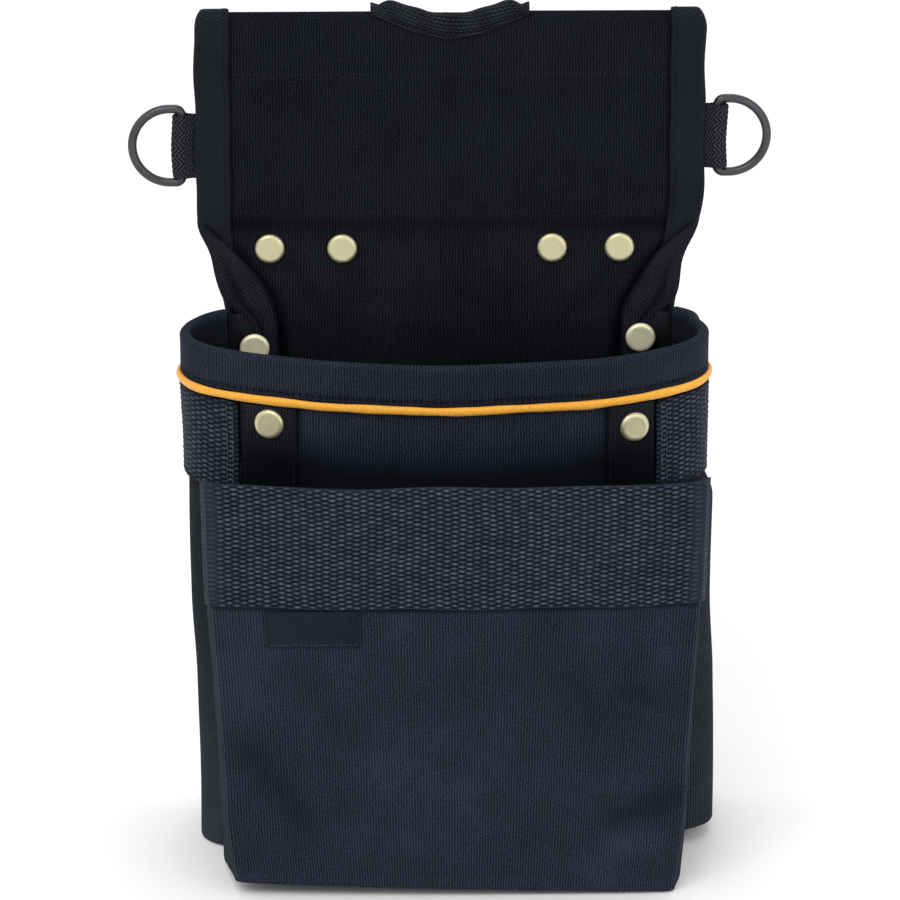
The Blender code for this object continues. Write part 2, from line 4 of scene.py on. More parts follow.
import bpy
import numpy as np
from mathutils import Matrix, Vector


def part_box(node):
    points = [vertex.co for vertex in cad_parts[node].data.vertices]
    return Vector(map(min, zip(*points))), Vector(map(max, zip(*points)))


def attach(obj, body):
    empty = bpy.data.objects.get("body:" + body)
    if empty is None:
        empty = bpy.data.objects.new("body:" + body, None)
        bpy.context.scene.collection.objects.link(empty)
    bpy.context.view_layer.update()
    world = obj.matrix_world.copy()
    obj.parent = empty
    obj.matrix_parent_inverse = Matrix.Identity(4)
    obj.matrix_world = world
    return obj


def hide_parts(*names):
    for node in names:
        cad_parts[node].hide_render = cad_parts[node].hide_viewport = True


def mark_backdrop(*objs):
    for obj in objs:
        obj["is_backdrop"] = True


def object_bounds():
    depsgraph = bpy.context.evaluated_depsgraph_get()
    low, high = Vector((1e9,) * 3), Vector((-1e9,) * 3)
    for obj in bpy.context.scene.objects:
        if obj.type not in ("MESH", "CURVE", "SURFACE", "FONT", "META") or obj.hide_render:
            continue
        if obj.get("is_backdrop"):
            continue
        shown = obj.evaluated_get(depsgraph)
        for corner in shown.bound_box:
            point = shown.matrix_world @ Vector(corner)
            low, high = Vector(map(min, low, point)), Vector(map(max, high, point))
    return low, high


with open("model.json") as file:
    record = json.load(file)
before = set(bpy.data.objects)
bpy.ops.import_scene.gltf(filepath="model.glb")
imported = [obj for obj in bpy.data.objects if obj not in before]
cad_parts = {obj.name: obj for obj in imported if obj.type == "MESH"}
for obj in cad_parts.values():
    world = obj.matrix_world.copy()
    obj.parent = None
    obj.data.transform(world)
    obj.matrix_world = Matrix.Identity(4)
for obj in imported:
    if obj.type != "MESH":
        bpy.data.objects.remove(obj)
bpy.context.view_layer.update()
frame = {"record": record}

# Looks of a two-pocket tool pouch. Shapes are worked out in millimetres, x to the right from the
# middle, y to the rear from the back panel's front face and z up from the underside, which are the
# CAD part's own measures, and turned into metres in the CAD frame when each mesh is made.

MM = 0.001
SIDES = ((-1, "left"), (1, "right"))
CORD_SIDES = 24
LATHE_SIDES = 64
THREAD_SIDES = 6
THREAD_RINGS = 7
ORIGIN = np.array([0.0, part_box("back_panel")[0].y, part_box("main_bottom")[0].z])
RING_AXES = {j["child"]: np.array(j["pos_m"]) for j in frame["record"]["behaviour"]["joints"]}

# Heights, then thicknesses and gaps, then sizes of the tapes, the piping, the fold and the rings.
FOLD_TOP = 327.0
STITCH_UPPER = 302.5
STITCH_LOWER = 246.7
FLAP_END = 218.0
PATCH_BOTTOM = 149.0
WALL_FOOT = 1.5
HEM = 0.35
CANVAS = 1.2
PANEL_CLOTH = 1.4
TAPE = 1.0
SEAM_TAPE = 0.9
WEBBING = 1.5
TAB_WEBBING = 1.3
BOARD = 1.6
GAP = 0.3
LAYER_GAP = 0.55
BINDING_LEG = 12.5
BINDING_EDGE = 86.2
COLLAR = 1.0
PIPING_RADIUS = 1.9
FOLD_RADIUS = 2.15
RING_WIRE = 1.75
RING_ARC = 14.85
RING_REACH = 4.7
RING_BEND = 2.6

# Half outlines of the main pocket at its rim and floor, as (x, y) from the panel round to the middle
# of the front. Then tables of (place, value): places are heights, or for the rim and the piping how
# far round from the middle.
RIM = [(68.5, -0.9), (80.0, -0.9), (88.5, -2.4), (98.0, -9.0), (103.5, -23.0), (98.0, -38.0),
       (83.0, -48.0), (60.0, -55.5), (30.0, -60.3), (0.0, -62.0)]
FLOOR = [(68.5, -0.9), (82.0, -0.9), (94.0, -2.4), (99.5, -8.0), (101.5, -24.0), (100.0, -42.0),
         (86.0, -52.0), (60.0, -55.0), (30.0, -56.0), (0.0, -56.0)]
SHARED_HEIGHT = 188.0
PANEL_HALF_WIDTH = [(0.0, 92.5), (148.0, 89.0), (190.0, 87.5), (207.0, 87.7), (211.0, 88.5),
                    (221.0, 91.0), (229.0, 92.7), (238.0, 96.2), (243.0, 98.2), (252.0, 98.7)]
RIM_HEIGHT = [(0.0, 201.5), (2.5, 203.5), (5.0, 205.5), (7.0, 208.0)]
PIPING_HEIGHT = [(0.0, 184.0), (2.5, 186.5), (5.0, 188.5), (7.0, 190.5)]
CREASE_HALF_WIDTH = [(0.0, 84.7), (22.0, 89.0), (46.0, 89.4), (86.0, 91.9), (118.0, 94.1),
                     (170.5, 94.9)]
POCKET_FRONT = [(0.0, -102.5), (46.0, -102.0), (86.0, -101.0), (118.0, -102.0), (168.0, -108.5)]


# ---------------------------------------------------------------- numbers

def eased(table, reach):
    """A smooth curve along (place, value) rows, as a function of arrays."""
    places, values = np.array(table, float).T
    grid = np.linspace(places[0] - 5 * reach, places[-1] + 5 * reach, 4001)
    flat = np.interp(grid, places, values)
    spread = reach / (grid[1] - grid[0])
    taps = np.arange(-int(3 * spread), int(3 * spread) + 1)
    kernel = np.exp(-0.5 * (taps / spread) ** 2)
    padded = np.pad(flat, len(taps) // 2, mode="edge")
    soft = np.convolve(padded, kernel / kernel.sum(), mode="valid")
    return lambda at: np.interp(at, grid, soft)


def smooth(t):
    t = np.clip(t, 0.0, 1.0)
    return t * t * (3.0 - 2.0 * t)


def bump(distance, width):
    return np.exp(-(distance / width) ** 2)


def unit(v):
    return v / np.maximum(np.linalg.norm(v, axis=-1, keepdims=True), 1e-12)


def stack(*coordinates):
    return np.stack(np.broadcast_arrays(*coordinates), axis=-1)


def run_along(line):
    """How far along a line each of its points is."""
    return np.append(0.0, np.cumsum(np.linalg.norm(np.diff(line, axis=0), axis=-1)))


def creases(x, z, folds):
    """Straight folds that fade out at both ends, as (x, z, end x, end z, width, depth) rows."""
    total = 0.0
    for x0, z0, x1, z1, width, depth in folds:
        dx, dz = x1 - x0, z1 - z0
        length = np.hypot(dx, dz)
        t = ((x - x0) * dx + (z - z0) * dz) / length ** 2
        across = ((x - x0) * dz - (z - z0) * dx) / length
        ends = smooth(t / 0.35 + 0.5) * smooth((1.0 - t) / 0.35 + 0.5)
        total = total + depth * bump(across, width) * ends
    return total


def ripple(x, z, scale, seed):
    """Gentle unevenness between -1 and 1, from a few crossed waves."""
    total = 0.0
    for k in range(5):
        turn = seed * 1.7 + k * 2.4
        size = scale * (0.75 + 0.31 * k)
        total = total + np.sin((x * np.cos(turn) + z * np.sin(turn)) / size + seed * 3.1 + k)
    return total / 5.0


half_width = eased(PANEL_HALF_WIDTH, 2.2)
rim_height = eased(RIM_HEIGHT, 0.6)
piping_height = eased(PIPING_HEIGHT, 0.6)
crease_half = eased(CREASE_HALF_WIDTH, 9.0)
pocket_front = eased(POCKET_FRONT, 9.0)
pocket_foot = eased([(0.0, 3.25), (60.0, 3.4), (118.0, 3.65)], 9.0)


def box_corners(node):
    """A CAD node's lowest and highest corners in millimetres."""
    return [(np.array(c) - ORIGIN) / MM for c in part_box(node)]


def box_middle(node):
    return sum(box_corners(node)) / 2


# ---------------------------------------------------------------- how the cloth settles

FACE_FOLDS = [(-84, 62, -52, 4, 6.0, 0.9), (-90, 34, -58, 20, 5.0, -0.8),
              (88, 70, 48, 28, 8.0, 1.0), (92, 40, 66, 6, 6.0, -0.9),
              (-70, 100, -40, 52, 11.0, 0.7), (60, 104, 86, 60, 9.0, -0.7),
              (-20, 50, 30, 12, 13.0, 0.7), (6, 96, -30, 70, 14.0, -0.5)]
UPPER_FOLDS = [(52, 200, 46, 120, 7.0, -0.8), (20, 196, 32, 130, 12.0, 0.6)]
WAIST_FOLDS = [(66, 226, 50, 196, 5.0, 1.1), (56, 222, 38, 200, 6.0, -0.7),
               (84, 244, 62, 222, 4.0, 0.5), (40, 214, 16, 204, 9.0, 0.6)]


def settle(p):
    """Sags and pulls that all layers share, so that they stay the same distance apart."""
    x, y, z = p[..., 0], p[..., 1], p[..., 2]
    side, wide = np.sign(x), np.abs(x)
    at_panel = smooth((y + 8.0) / 5.0)

    # Both pockets hang a little to one side.
    fore = smooth((-60.0 - y) / 30.0)
    rim = smooth((z - 176.0) / 16.0) * smooth((-8.0 - y) / 8.0)
    dz = (smooth(1.0 - z / 118.0) * (fore * (1.0 - 0.030 * x) + (1.0 - fore) * (1.0 + 0.028 * x))
          + rim * 0.55 * ripple(x, y, 15.0, 6.0))

    # Folds of the front pocket's face, then of the main pocket's front above it.
    face = smooth((-86.0 - y) / 8.0)
    body = smooth((z - 4.0) / 14.0) * smooth((114.0 - z) / 10.0)
    dy = face * body * (1.7 * creases(x, z, FACE_FOLDS) + 0.8 * ripple(x, z, 13.0, 1.0))
    dy = dy + face * 0.5 * smooth((z - 112.0) / 20.0) * ripple(x, z, 17.0, 4.0)
    upper = smooth((y + 72.0) / 10.0) * smooth((-30.0 - y) / 8.0)
    dy = dy + upper * (0.5 * ripple(x, z, 15.0, 2.0) + creases(wide, z, UPPER_FOLDS))

    # The back panel's pulls at the waist, its belly over the belt tunnel and its unevenness.
    waist = creases(wide, z, WAIST_FOLDS) + 0.25 * ripple(x, z, 12.0, 3.0) * smooth((250.0 - z) / 20.0)
    belly = 0.9 * bump(wide - 45.0, 60.0) * bump(z - 275.0, 24.0)
    uneven = 0.3 * ripple(x, z, 19.0, 5.0) * smooth((z - 240.0) / 20.0)
    dy = dy + at_panel * smooth((z - 200.0) / 10.0) * (waist - belly + uneven)

    # Sideways: the panel's wavy edges, the main pocket's sides and its nip at the waist.
    edge = smooth((wide - 82.0) / 10.0) * at_panel * smooth((z - 232.0) / 12.0)
    dx = edge * side * 0.35 * np.sin(z / 5.1 + 1.3 * side)
    mouth = smooth((-3.0 - y) / 12.0)
    dx = dx - mouth * 0.8 * smooth((z - 160.0) / 30.0) * smooth((-x - 60.0) / 35.0)
    pulled = smooth((z - 137.0) / 14.0) * smooth((y + 80.0) / 12.0)
    dx = dx - mouth * 4.5 * pulled * smooth((x - 50.0) / 45.0)
    leaning = mouth * smooth((y + 60.0) / 18.0) * smooth(wide / 60.0) * smooth((98.0 - z) / 34.0)
    dx = dx + leaning * (1.4 + 1.2 * (x > 0) * smooth((84.0 - z) / 45.0))
    nip = 2.6 * (x > 0) * bump(z - 229.0, 12.0) - 0.9 * (x < 0) * bump(z - 231.0, 6.0)
    dx = dx - smooth((wide - 62.0) / 28.0) * at_panel * nip
    return p + stack(dx, dy, dz)


# ---------------------------------------------------------------- shape of the pockets

def whole_line(half):
    half = np.array(half)
    line = np.vstack([half * [-1.0, 1.0], half[-2::-1]])
    return np.vstack([2 * line[0] - line[1], line, 2 * line[-1] - line[-2]])


RIM_LINE = whole_line(RIM)
FLOOR_LINE = whole_line(FLOOR)
LAST = len(RIM) - 1


def spline(line, u):
    """A smooth curve through a line's points. u counts them from 0 at the middle one."""
    place = u + LAST
    i = np.clip(np.floor(place).astype(int), 0, 2 * LAST - 1)
    t = (place - i)[..., None]
    a, b, c, d = (line[i + k] for k in range(4))
    return 0.5 * (2 * b + (c - a) * t + (2 * a - 5 * b + 4 * c - d) * t ** 2
                  + (3 * b - a - 3 * c + d) * t ** 3)


def outline(u, z):
    share = np.clip(z / SHARED_HEIGHT, 0.0, 1.0)[..., None]
    return spline(FLOOR_LINE, u) * (1.0 - share) + spline(RIM_LINE, u) * share


def wall_u(u, z, out=0.0):
    """Main pocket's wall. u runs from -9 through 0 at the front middle to 9, out is off the wall."""
    u, z, out = np.broadcast_arrays(u, z, out)
    run = unit(outline(u + 0.02, z) - outline(u - 0.02, z))
    spot = outline(u, z)
    return stack(spot[..., 0] + run[..., 1] * out, spot[..., 1] - run[..., 0] * out, z)


# Distances round the main pocket, all taken at one height.
MEASURED_AT = 150.0
U_TABLE = np.linspace(-LAST, LAST, 3601)
S_TABLE = run_along(outline(U_TABLE, np.full(U_TABLE.shape, MEASURED_AT)))
S_TABLE -= np.interp(0.0, U_TABLE, S_TABLE)


def u_of(s):
    return np.interp(s, S_TABLE, U_TABLE)


def s_of(u):
    return float(np.interp(u, U_TABLE, S_TABLE))


def wall(s, z, out=0.0):
    """Main pocket's wall by s, the distance round it from the front's middle, in millimetres."""
    return wall_u(u_of(s), z, out)


POCKET_LIFT = 1.6


def pocket_spots(z):
    """The front pocket's outline at heights z, as an array of heights by spots by (x, y)."""
    foot = wall_u(pocket_foot(z), z, POCKET_LIFT)[..., :2]
    c, f = crease_half(z), pocket_front(z)
    x, y = foot[..., 0], foot[..., 1]
    half = [(x, y), (x * 0.66 + c * 0.34 + 1.2, y * 0.66 + f * 0.34),
            (x * 0.33 + c * 0.67 + 1.2, y * 0.33 + f * 0.67), (c + 0.3, f + 5.2),
            (c - 0.7, f + 3.2), (c - 3.0, f + 2.2), (c * 0.75, f + 1.2), (c * 0.4, f + 0.3),
            (c * 0.0, f)]
    left = [stack(-x, y) for x, y in half]
    right = [stack(x, y) for x, y in half[-2::-1]]
    return np.stack(left + right, axis=1)


POCKET_Z0 = -6.0
POCKET_LEVELS = POCKET_Z0 + np.arange(196)
POCKET_STEP = 0.3
POCKET_SOFTNESS = 1.1
POCKET_TAPS = 12
USUAL_LEVEL = 120
CREASE_SPOT = 4


def pocket_table():
    """The outline at each level, evenly spaced and rounded at its corners."""
    spots = pocket_spots(POCKET_LEVELS)
    run = run_along(spots[USUAL_LEVEL])
    count = int(run[-1] / POCKET_STEP) + 1
    at = np.linspace(0.0, run[-1], count)
    taps = np.arange(-POCKET_TAPS, POCKET_TAPS + 1)
    kernel = np.exp(-0.5 * (taps * POCKET_STEP / POCKET_SOFTNESS) ** 2)
    kernel /= kernel.sum()
    table = np.zeros((len(POCKET_LEVELS), count, 2))
    for row, level in enumerate(spots):
        for axis in (0, 1):
            flat = np.interp(at, run, level[:, axis])
            before = 2 * flat[0] - flat[POCKET_TAPS:0:-1]
            after = 2 * flat[-1] - flat[-2:-2 - POCKET_TAPS:-1]
            line = np.concatenate([before, flat, after])
            table[row, :, axis] = np.convolve(line, kernel, "valid")
    return table, run


POCKET, SPOT_RUN = pocket_table()
POCKET_LENGTH = SPOT_RUN[-1]
CREASE_LEFT, CREASE_RIGHT = SPOT_RUN[CREASE_SPOT], SPOT_RUN[-1 - CREASE_SPOT]
_run = unit(np.gradient(POCKET, axis=1))
POCKET_OUT = np.stack([_run[..., 1], -_run[..., 0]], axis=-1)


def pocket(s, z, out=0.0):
    """Front pocket's wall. s is the distance along it from the left side, in millimetres."""
    s, z, out = np.broadcast_arrays(s, z, out)
    column = np.clip(s / POCKET_LENGTH, 0.0, 1.0) * (POCKET.shape[1] - 1)
    row = np.clip(z - POCKET_Z0, 0.0, len(POCKET_LEVELS) - 1.001)
    i = np.clip(column.astype(int), 0, POCKET.shape[1] - 2)
    j = row.astype(int)
    a, b = (column - i)[..., None], (row - j)[..., None]

    def read(table):
        return ((table[j, i] * (1 - a) + table[j, i + 1] * a) * (1 - b)
                + (table[j + 1, i] * (1 - a) + table[j + 1, i + 1] * a) * b)

    spot = read(POCKET) + read(POCKET_OUT) * out[..., None]
    return stack(spot[..., 0], spot[..., 1], z)


SIDE_SLOPE_FOOT = 118.0
SIDE_TOP = (147.0, 155.0, 163.0)
CORNER_TOP = 170.5
SLOPE_AT = np.concatenate([SPOT_RUN[:4], SPOT_RUN[-4:]])
SLOPE_TOP = np.array(SIDE_TOP + (CORNER_TOP, CORNER_TOP) + SIDE_TOP[::-1])


def sloped(s, z):
    """Height on the front pocket's wall: above the band's foot the sides fall away to the rear."""
    share = (np.interp(s, SLOPE_AT, SLOPE_TOP) - SIDE_SLOPE_FOOT) / (CORNER_TOP - SIDE_SLOPE_FOOT)
    return np.minimum(z, SIDE_SLOPE_FOOT) + np.maximum(z - SIDE_SLOPE_FOOT, 0.0) * share


def mouth_height(x):
    return 168.0 + 2.5 * (x / 95.0) ** 2


def band_foot(x):
    return 117.5 + 1.1 * (x / 95.0) ** 2


REAR_SPOTS = 260
TUNNEL_SLACK = 11.0


def panel_profile():
    """Middle line of the back panel's cloth, from the bottom over the fold to the flap's end."""
    front_y = PANEL_CLOTH / 2
    centre_z = FOLD_TOP - FOLD_RADIUS - front_y
    turn = np.linspace(np.pi, 0.0, 24)[1:-1]
    rear_z = np.linspace(centre_z, FLAP_END, REAR_SPOTS)
    share = np.clip((STITCH_UPPER - rear_z) / (STITCH_UPPER - STITCH_LOWER), 0.0, 1.0)
    slack = TUNNEL_SLACK * np.sin(np.pi * share) ** 0.75
    y = np.concatenate([np.full(400, front_y), front_y + FOLD_RADIUS * (1.0 + np.cos(turn)),
                        front_y + 2 * FOLD_RADIUS + slack])
    z = np.concatenate([np.linspace(WALL_FOOT, centre_z, 400),
                        centre_z + FOLD_RADIUS * np.sin(turn), rear_z])
    return run_along(stack(y, z)), y, z


PROFILE_S, PROFILE_Y, PROFILE_Z = panel_profile()
PROFILE_END = PROFILE_S[-1]


def profile_at_front(z):
    return z - WALL_FOOT


def profile_at_rear(z):
    return float(np.interp(-z, -PROFILE_Z[-REAR_SPOTS:], PROFILE_S[-REAR_SPOTS:]))


def panel_half(z):
    """Half width of the back panel, with the corners beside the fold rounded off."""
    drop = np.clip((z - (FOLD_TOP - 7.5)) / 7.5, 0.0, 1.0)
    return half_width(z) - 4.2 * (1.0 - np.sqrt(1.0 - 0.98 * drop ** 2.4))


def panel_point(run, off=0.0):
    """(y, z) on the back panel's middle line, off it by off towards the outside of the fold."""
    (y, z), (ya, za), (yb, zb) = ((np.interp(at, PROFILE_S, PROFILE_Y),
                                   np.interp(at, PROFILE_S, PROFILE_Z))
                                  for at in (run, run - 0.4, run + 0.4))
    length = np.maximum(np.hypot(yb - ya, zb - za), 1e-9)
    return y - (zb - za) / length * off, z + (yb - ya) / length * off


WAIST = [  # height, inner edge, outer edge, how far the inner edge stands off, thickness
    (246.0, 99.0, 99.4, 0.6, 0.5), (243.0, 97.6, 99.5, 1.3, 1.0), (240.5, 95.4, 99.2, 2.0, 1.6),
    (236.0, 90.0, 97.8, 2.7, 2.3), (231.0, 85.2, 95.9, 3.2, 2.8), (226.0, 81.0, 94.2, 3.6, 3.1),
    (219.0, 75.7, 92.4, 3.9, 3.3), (212.0, 70.8, 90.2, 4.0, 3.3), (207.0, 69.0, 85.4, 4.0, 3.2),
    (202.0, 68.2, 79.5, 3.9, 3.0), (196.0, 67.8, 77.6, 3.8, 2.8), (180.0, 67.6, 77.2, 3.8, 2.6),
    (150.0, 67.6, 77.0, 3.7, 2.5), (100.0, 67.6, 77.0, 3.6, 2.4), (8.0, 67.6, 77.0, 3.5, 2.4)]
waist_inner, waist_outer, waist_off, waist_thick = (
    eased([(row[0], row[k]) for row in WAIST[::-1]], reach)
    for k, reach in ((1, 1.6), (2, 1.6), (3, 2.0), (4, 2.0)))


# ---------------------------------------------------------------- materials

COOL = (0.6, 0.7, 1.0)
NEUTRAL = (1.0, 1.0, 1.0)


class Value:
    """One output of a material's nodes. Reckoning with it adds Math nodes."""

    def __init__(self, look, socket):
        self.look, self.socket = look, socket

    def math(self, operation, *others):
        return self.look.math(operation, self, *others)

    def __add__(self, other):
        return self.math("ADD", other)

    def __sub__(self, other):
        return self.math("SUBTRACT", other)

    def __mul__(self, other):
        return self.math("MULTIPLY", other)

    def wave(self, length):
        return (self * (math.tau / length)).math("SINE")


class Look:
    """A material in the making, with its shader and the patterns that its colour is made from."""

    def __init__(self, name, roughness, metallic=0.0, specular=0.35, sheen=0.0, tint=COOL):
        self.material = bpy.data.materials.new(name)
        self.material.use_nodes = True
        self.nodes, self.links = self.material.node_tree.nodes, self.material.node_tree.links
        self.shader = self.nodes["Principled BSDF"]
        for socket, value in (("Roughness", roughness), ("Metallic", metallic),
                              ("Specular IOR Level", specular), ("Sheen Weight", sheen),
                              ("Sheen Roughness", 0.45), ("Sheen Tint", (*tint, 1.0))):
            self.shader.inputs[socket].default_value = value

    def math(self, operation, *values):
        node = self.nodes.new("ShaderNodeMath")
        node.operation = operation
        for socket, value in zip(node.inputs, values):
            if isinstance(value, Value):
                self.links.new(value.socket, socket)
            else:
                socket.default_value = value
        return Value(self, node.outputs[0])

    def cloth(self):
        """The place in the cloth, and that across and along its weave, in millimetres."""
        node = self.nodes.new("ShaderNodeUVMap")
        node.uv_map = "Cloth"
        split = self.nodes.new("ShaderNodeSeparateXYZ")
        self.links.new(node.outputs[0], split.inputs[0])
        return node.outputs[0], Value(self, split.outputs[0]), Value(self, split.outputs[1])

    def space(self):
        """The place in the object, in metres."""
        return self.nodes.new("ShaderNodeTexCoord").outputs["Object"]

    def noise(self, spot, scale, detail=2.0, roughness=0.5):
        node = self.nodes.new("ShaderNodeTexNoise")
        for socket, value in (("Scale", scale), ("Detail", detail), ("Roughness", roughness)):
            node.inputs[socket].default_value = value
        self.links.new(spot, node.inputs["Vector"])
        return Value(self, node.outputs[0])

    def attribute(self, name):
        node = self.nodes.new("ShaderNodeAttribute")
        node.attribute_name = name
        return Value(self, node.outputs["Fac"])

    def folded(self, shade):
        """The shade with a piece's painted shade taken out: its "deep" attribute is painted shade, 1
        where a fold or crevice is darkest, and below 0 it paints light.
        """
        return shade * self.math("SUBTRACT", 1.0, self.attribute("deep"))

    def finish(self, shade, dark, light, height, depth, strength, rough=None):
        """Colours from dark to light by the shade, and a relief of depth millimetres."""
        mix = self.nodes.new("ShaderNodeMix")
        mix.data_type = "RGBA"
        mix.clamp_factor = True
        mix.inputs[6].default_value = (*dark, 1.0)
        mix.inputs[7].default_value = (*light, 1.0)
        relief = self.nodes.new("ShaderNodeBump")
        relief.inputs["Distance"].default_value = depth * MM
        relief.inputs["Strength"].default_value = strength
        self.links.new(shade.socket, mix.inputs[0])
        self.links.new(mix.outputs[2], self.shader.inputs["Base Color"])
        self.links.new(height.socket, relief.inputs["Height"])
        self.links.new(relief.outputs[0], self.shader.inputs["Normal"])
        if rough is not None:
            self.links.new(rough.socket, self.shader.inputs["Roughness"])
        return self.material


def canvas(name, dark, light, pitch=1.15, row=1.0, depth=0.30, gloss=0.06):
    """Plain-woven nylon canvas: upright ribs crossed by finer yarns, mottled and slightly dusty."""
    look = Look(name, 0.85, specular=gloss, sheen=gloss / 4)
    uv, across, along = look.cloth()
    space = look.space()
    spot = across + (look.noise(uv, 0.22) - 0.5) * 0.9
    odd = spot.math("DIVIDE", pitch).math("FLOOR").math("MODULO", 2.0)
    knots = (along + odd * (row * 0.5)).wave(row)
    slub = look.noise(uv, 1.3, 3.0, 0.65)
    clear = look.noise(uv, 0.16, 2.0, 0.6) * 1.1 - 0.15
    weave = (spot.wave(pitch) * 0.60 + knots * 0.34) * clear
    grain = look.noise(space, 60.0, 3.0, 0.6) * 0.35
    cloud = look.noise(space, 12.0) * 0.35
    shade = weave + slub * 1.3 + grain + cloud - 0.66
    return look.finish(look.folded(shade), dark, light, weave + slub * 0.6, depth, 0.8,
                       slub * 0.2 + 0.72)


def herringbone(name, dark, light, column=2.3, pitch=0.95):
    """Binding tape in a zigzag twill. Its columns run along the tape."""
    look = Look(name, 0.8, specular=0.08, sheen=0.02)
    uv, across, along = look.cloth()
    zigzag = across.math("PINGPONG", column)
    ribs = (along + zigzag * 0.8).wave(pitch)
    slub = look.noise(uv, 2.2, 3.0, 0.6)
    shade = ribs * 0.45 + slub * 1.2 + look.noise(look.space(), 40.0) * 0.4 - 0.42
    height = ribs * 0.4 + zigzag.math("MINIMUM", 0.35) * 1.6 + slub * 0.4
    return look.finish(look.folded(shade), dark, light, height, 0.28, 0.8)


def webbing(name, dark, light):
    """Coarse webbing whose floats stand up in the mesh. Each float's height, the "lift" attribute,
    colours it too: a painted highlight on its crown and painted shade in the gaps between rows.
    """
    look = Look(name, 0.6, specular=0.06, sheen=0.01)
    uv, _, along = look.cloth()
    fibres = look.noise(uv, 3.2, 4.0, 0.7)
    cloud = look.noise(look.space(), 30.0) * 0.3 + 0.85
    shade = look.attribute("lift") * (fibres + 0.5) * cloud
    height = along.wave(0.33) * 0.25 + fibres
    return look.finish(look.folded(shade), dark, light, height, 0.12, 0.6)


def piping_cloth(name, dark, light):
    """Bright cover strip of the piping, cut on the bias, so its yarns run slantwise."""
    look = Look(name, 0.55, sheen=0.2, tint=NEUTRAL)
    uv, across, along = look.cloth()
    slant = across * 0.8
    yarn = (along + slant).wave(0.55) * (along - slant).wave(0.55)
    shade = yarn * 0.16 + (look.noise(uv, 0.9, 3.0, 0.6) + 0.2)
    return look.finish(look.folded(shade), dark, light, shade, 0.10, 0.8)


def thread(name, dark, light):
    """Twisted sewing thread."""
    look = Look(name, 0.5, specular=0.2)
    _, across, along = look.cloth()
    twist = (along + across).wave(0.5)
    shade = twist * 0.3 + look.noise(look.space(), 300.0)
    return look.finish(shade, dark, light, twist, 0.05, 0.7)


def metal(name, dark, light, roughness, metallic):
    """Plated or coated metal with fine handling marks."""
    look = Look(name, roughness, metallic=metallic, specular=0.5)
    space = look.space()
    worn = look.noise(space, 220.0, 4.0, 0.65)
    shade = worn * 0.6 + look.noise(space, 70.0) * 0.4
    return look.finish(shade, dark, light, worn, 0.006, 0.25, worn * 0.22 + (roughness - 0.11))


def fibreboard(name, dark, light):
    """Pressed board, speckled with fine fibres."""
    look = Look(name, 0.6)
    fibres = look.noise(look.space(), 500.0, 4.0, 0.7)
    return look.finish(fibres, dark, light, fibres, 0.05, 0.6)


NAVY = canvas("canvas_navy_cloth", (0.0030, 0.0038, 0.0075), (0.0400, 0.0460, 0.0740))
BLACK = canvas("canvas_black_cloth", (0.0016, 0.0020, 0.0033), (0.0175, 0.0200, 0.0270), gloss=0.02)
# Paler than the black canvas the gussets are made of: painted sheen on their grazing faces. The front
# pocket's sides use it too.
GUSSET_PAINTED_SHEEN_CLOTH = canvas("gusset_painted_sheen_cloth", (0.0050, 0.0058, 0.0072), (0.0500, 0.0570, 0.0660), gloss=0.02)
COLLAR_CLOTH = canvas("collar_cloth", (0.0030, 0.0038, 0.0072), (0.0370, 0.0420, 0.0640), depth=0.22)
LINING = canvas("lining_cloth", (0.0012, 0.0014, 0.0022), (0.0140, 0.0155, 0.0200), 0.9, 0.8,
                gloss=0.02)
TAPE_CLOTH = herringbone("tape_cloth", (0.0014, 0.0018, 0.0032), (0.0210, 0.0250, 0.0340))
RIBBED_CLOTH = canvas("ribbed_tape_cloth", (0.0016, 0.0020, 0.0036), (0.0300, 0.0340, 0.0430),
                      1.2, 1.5, 0.45)
NOTCH_CLOTH = canvas("notch_tape_cloth", (0.0012, 0.0015, 0.0028), (0.0270, 0.0310, 0.0400),
                     1.5, 1.9, 0.45)
TAB_CLOTH = herringbone("tab_cloth", (0.0022, 0.0025, 0.0036), (0.0420, 0.0450, 0.0520), 3.1, 1.5)
WEBBING_CLOTH = webbing("webbing_cloth", (0.0018, 0.0024, 0.0046), (0.0960, 0.1110, 0.1640))
PIPING_CLOTH = piping_cloth("piping_cloth", (0.42, 0.12, 0.006), (0.95, 0.47, 0.040))
DARK_THREAD = thread("dark_thread", (0.002, 0.003, 0.005), (0.011, 0.013, 0.019))
BRIGHT_THREAD = thread("bright_thread", (0.035, 0.040, 0.054), (0.120, 0.135, 0.170))
BRASS = metal("pale_brass", (0.55, 0.51, 0.31), (0.70, 0.66, 0.43), 0.42, 0.8)
# A paler, less metallic copy of the brass for the inner rivets' caps: painted light where the pocket's
# mouth shades them.
PAINTED_LIGHT_BRASS = metal("painted_light_brass", (0.80, 0.76, 0.52), (0.93, 0.90, 0.66), 0.46, 0.45)
RING_COAT = metal("ring_coat", (0.026, 0.026, 0.030), (0.070, 0.070, 0.078), 0.36, 0.45)
BOARD_FIBRE = fibreboard("board_fibre", (0.03, 0.03, 0.032), (0.075, 0.075, 0.078))
TAG_CLOTH = canvas("tag_cloth", (0.0035, 0.0045, 0.0085), (0.0240, 0.0290, 0.0430), 0.5, 0.45)


# ---------------------------------------------------------------- meshes

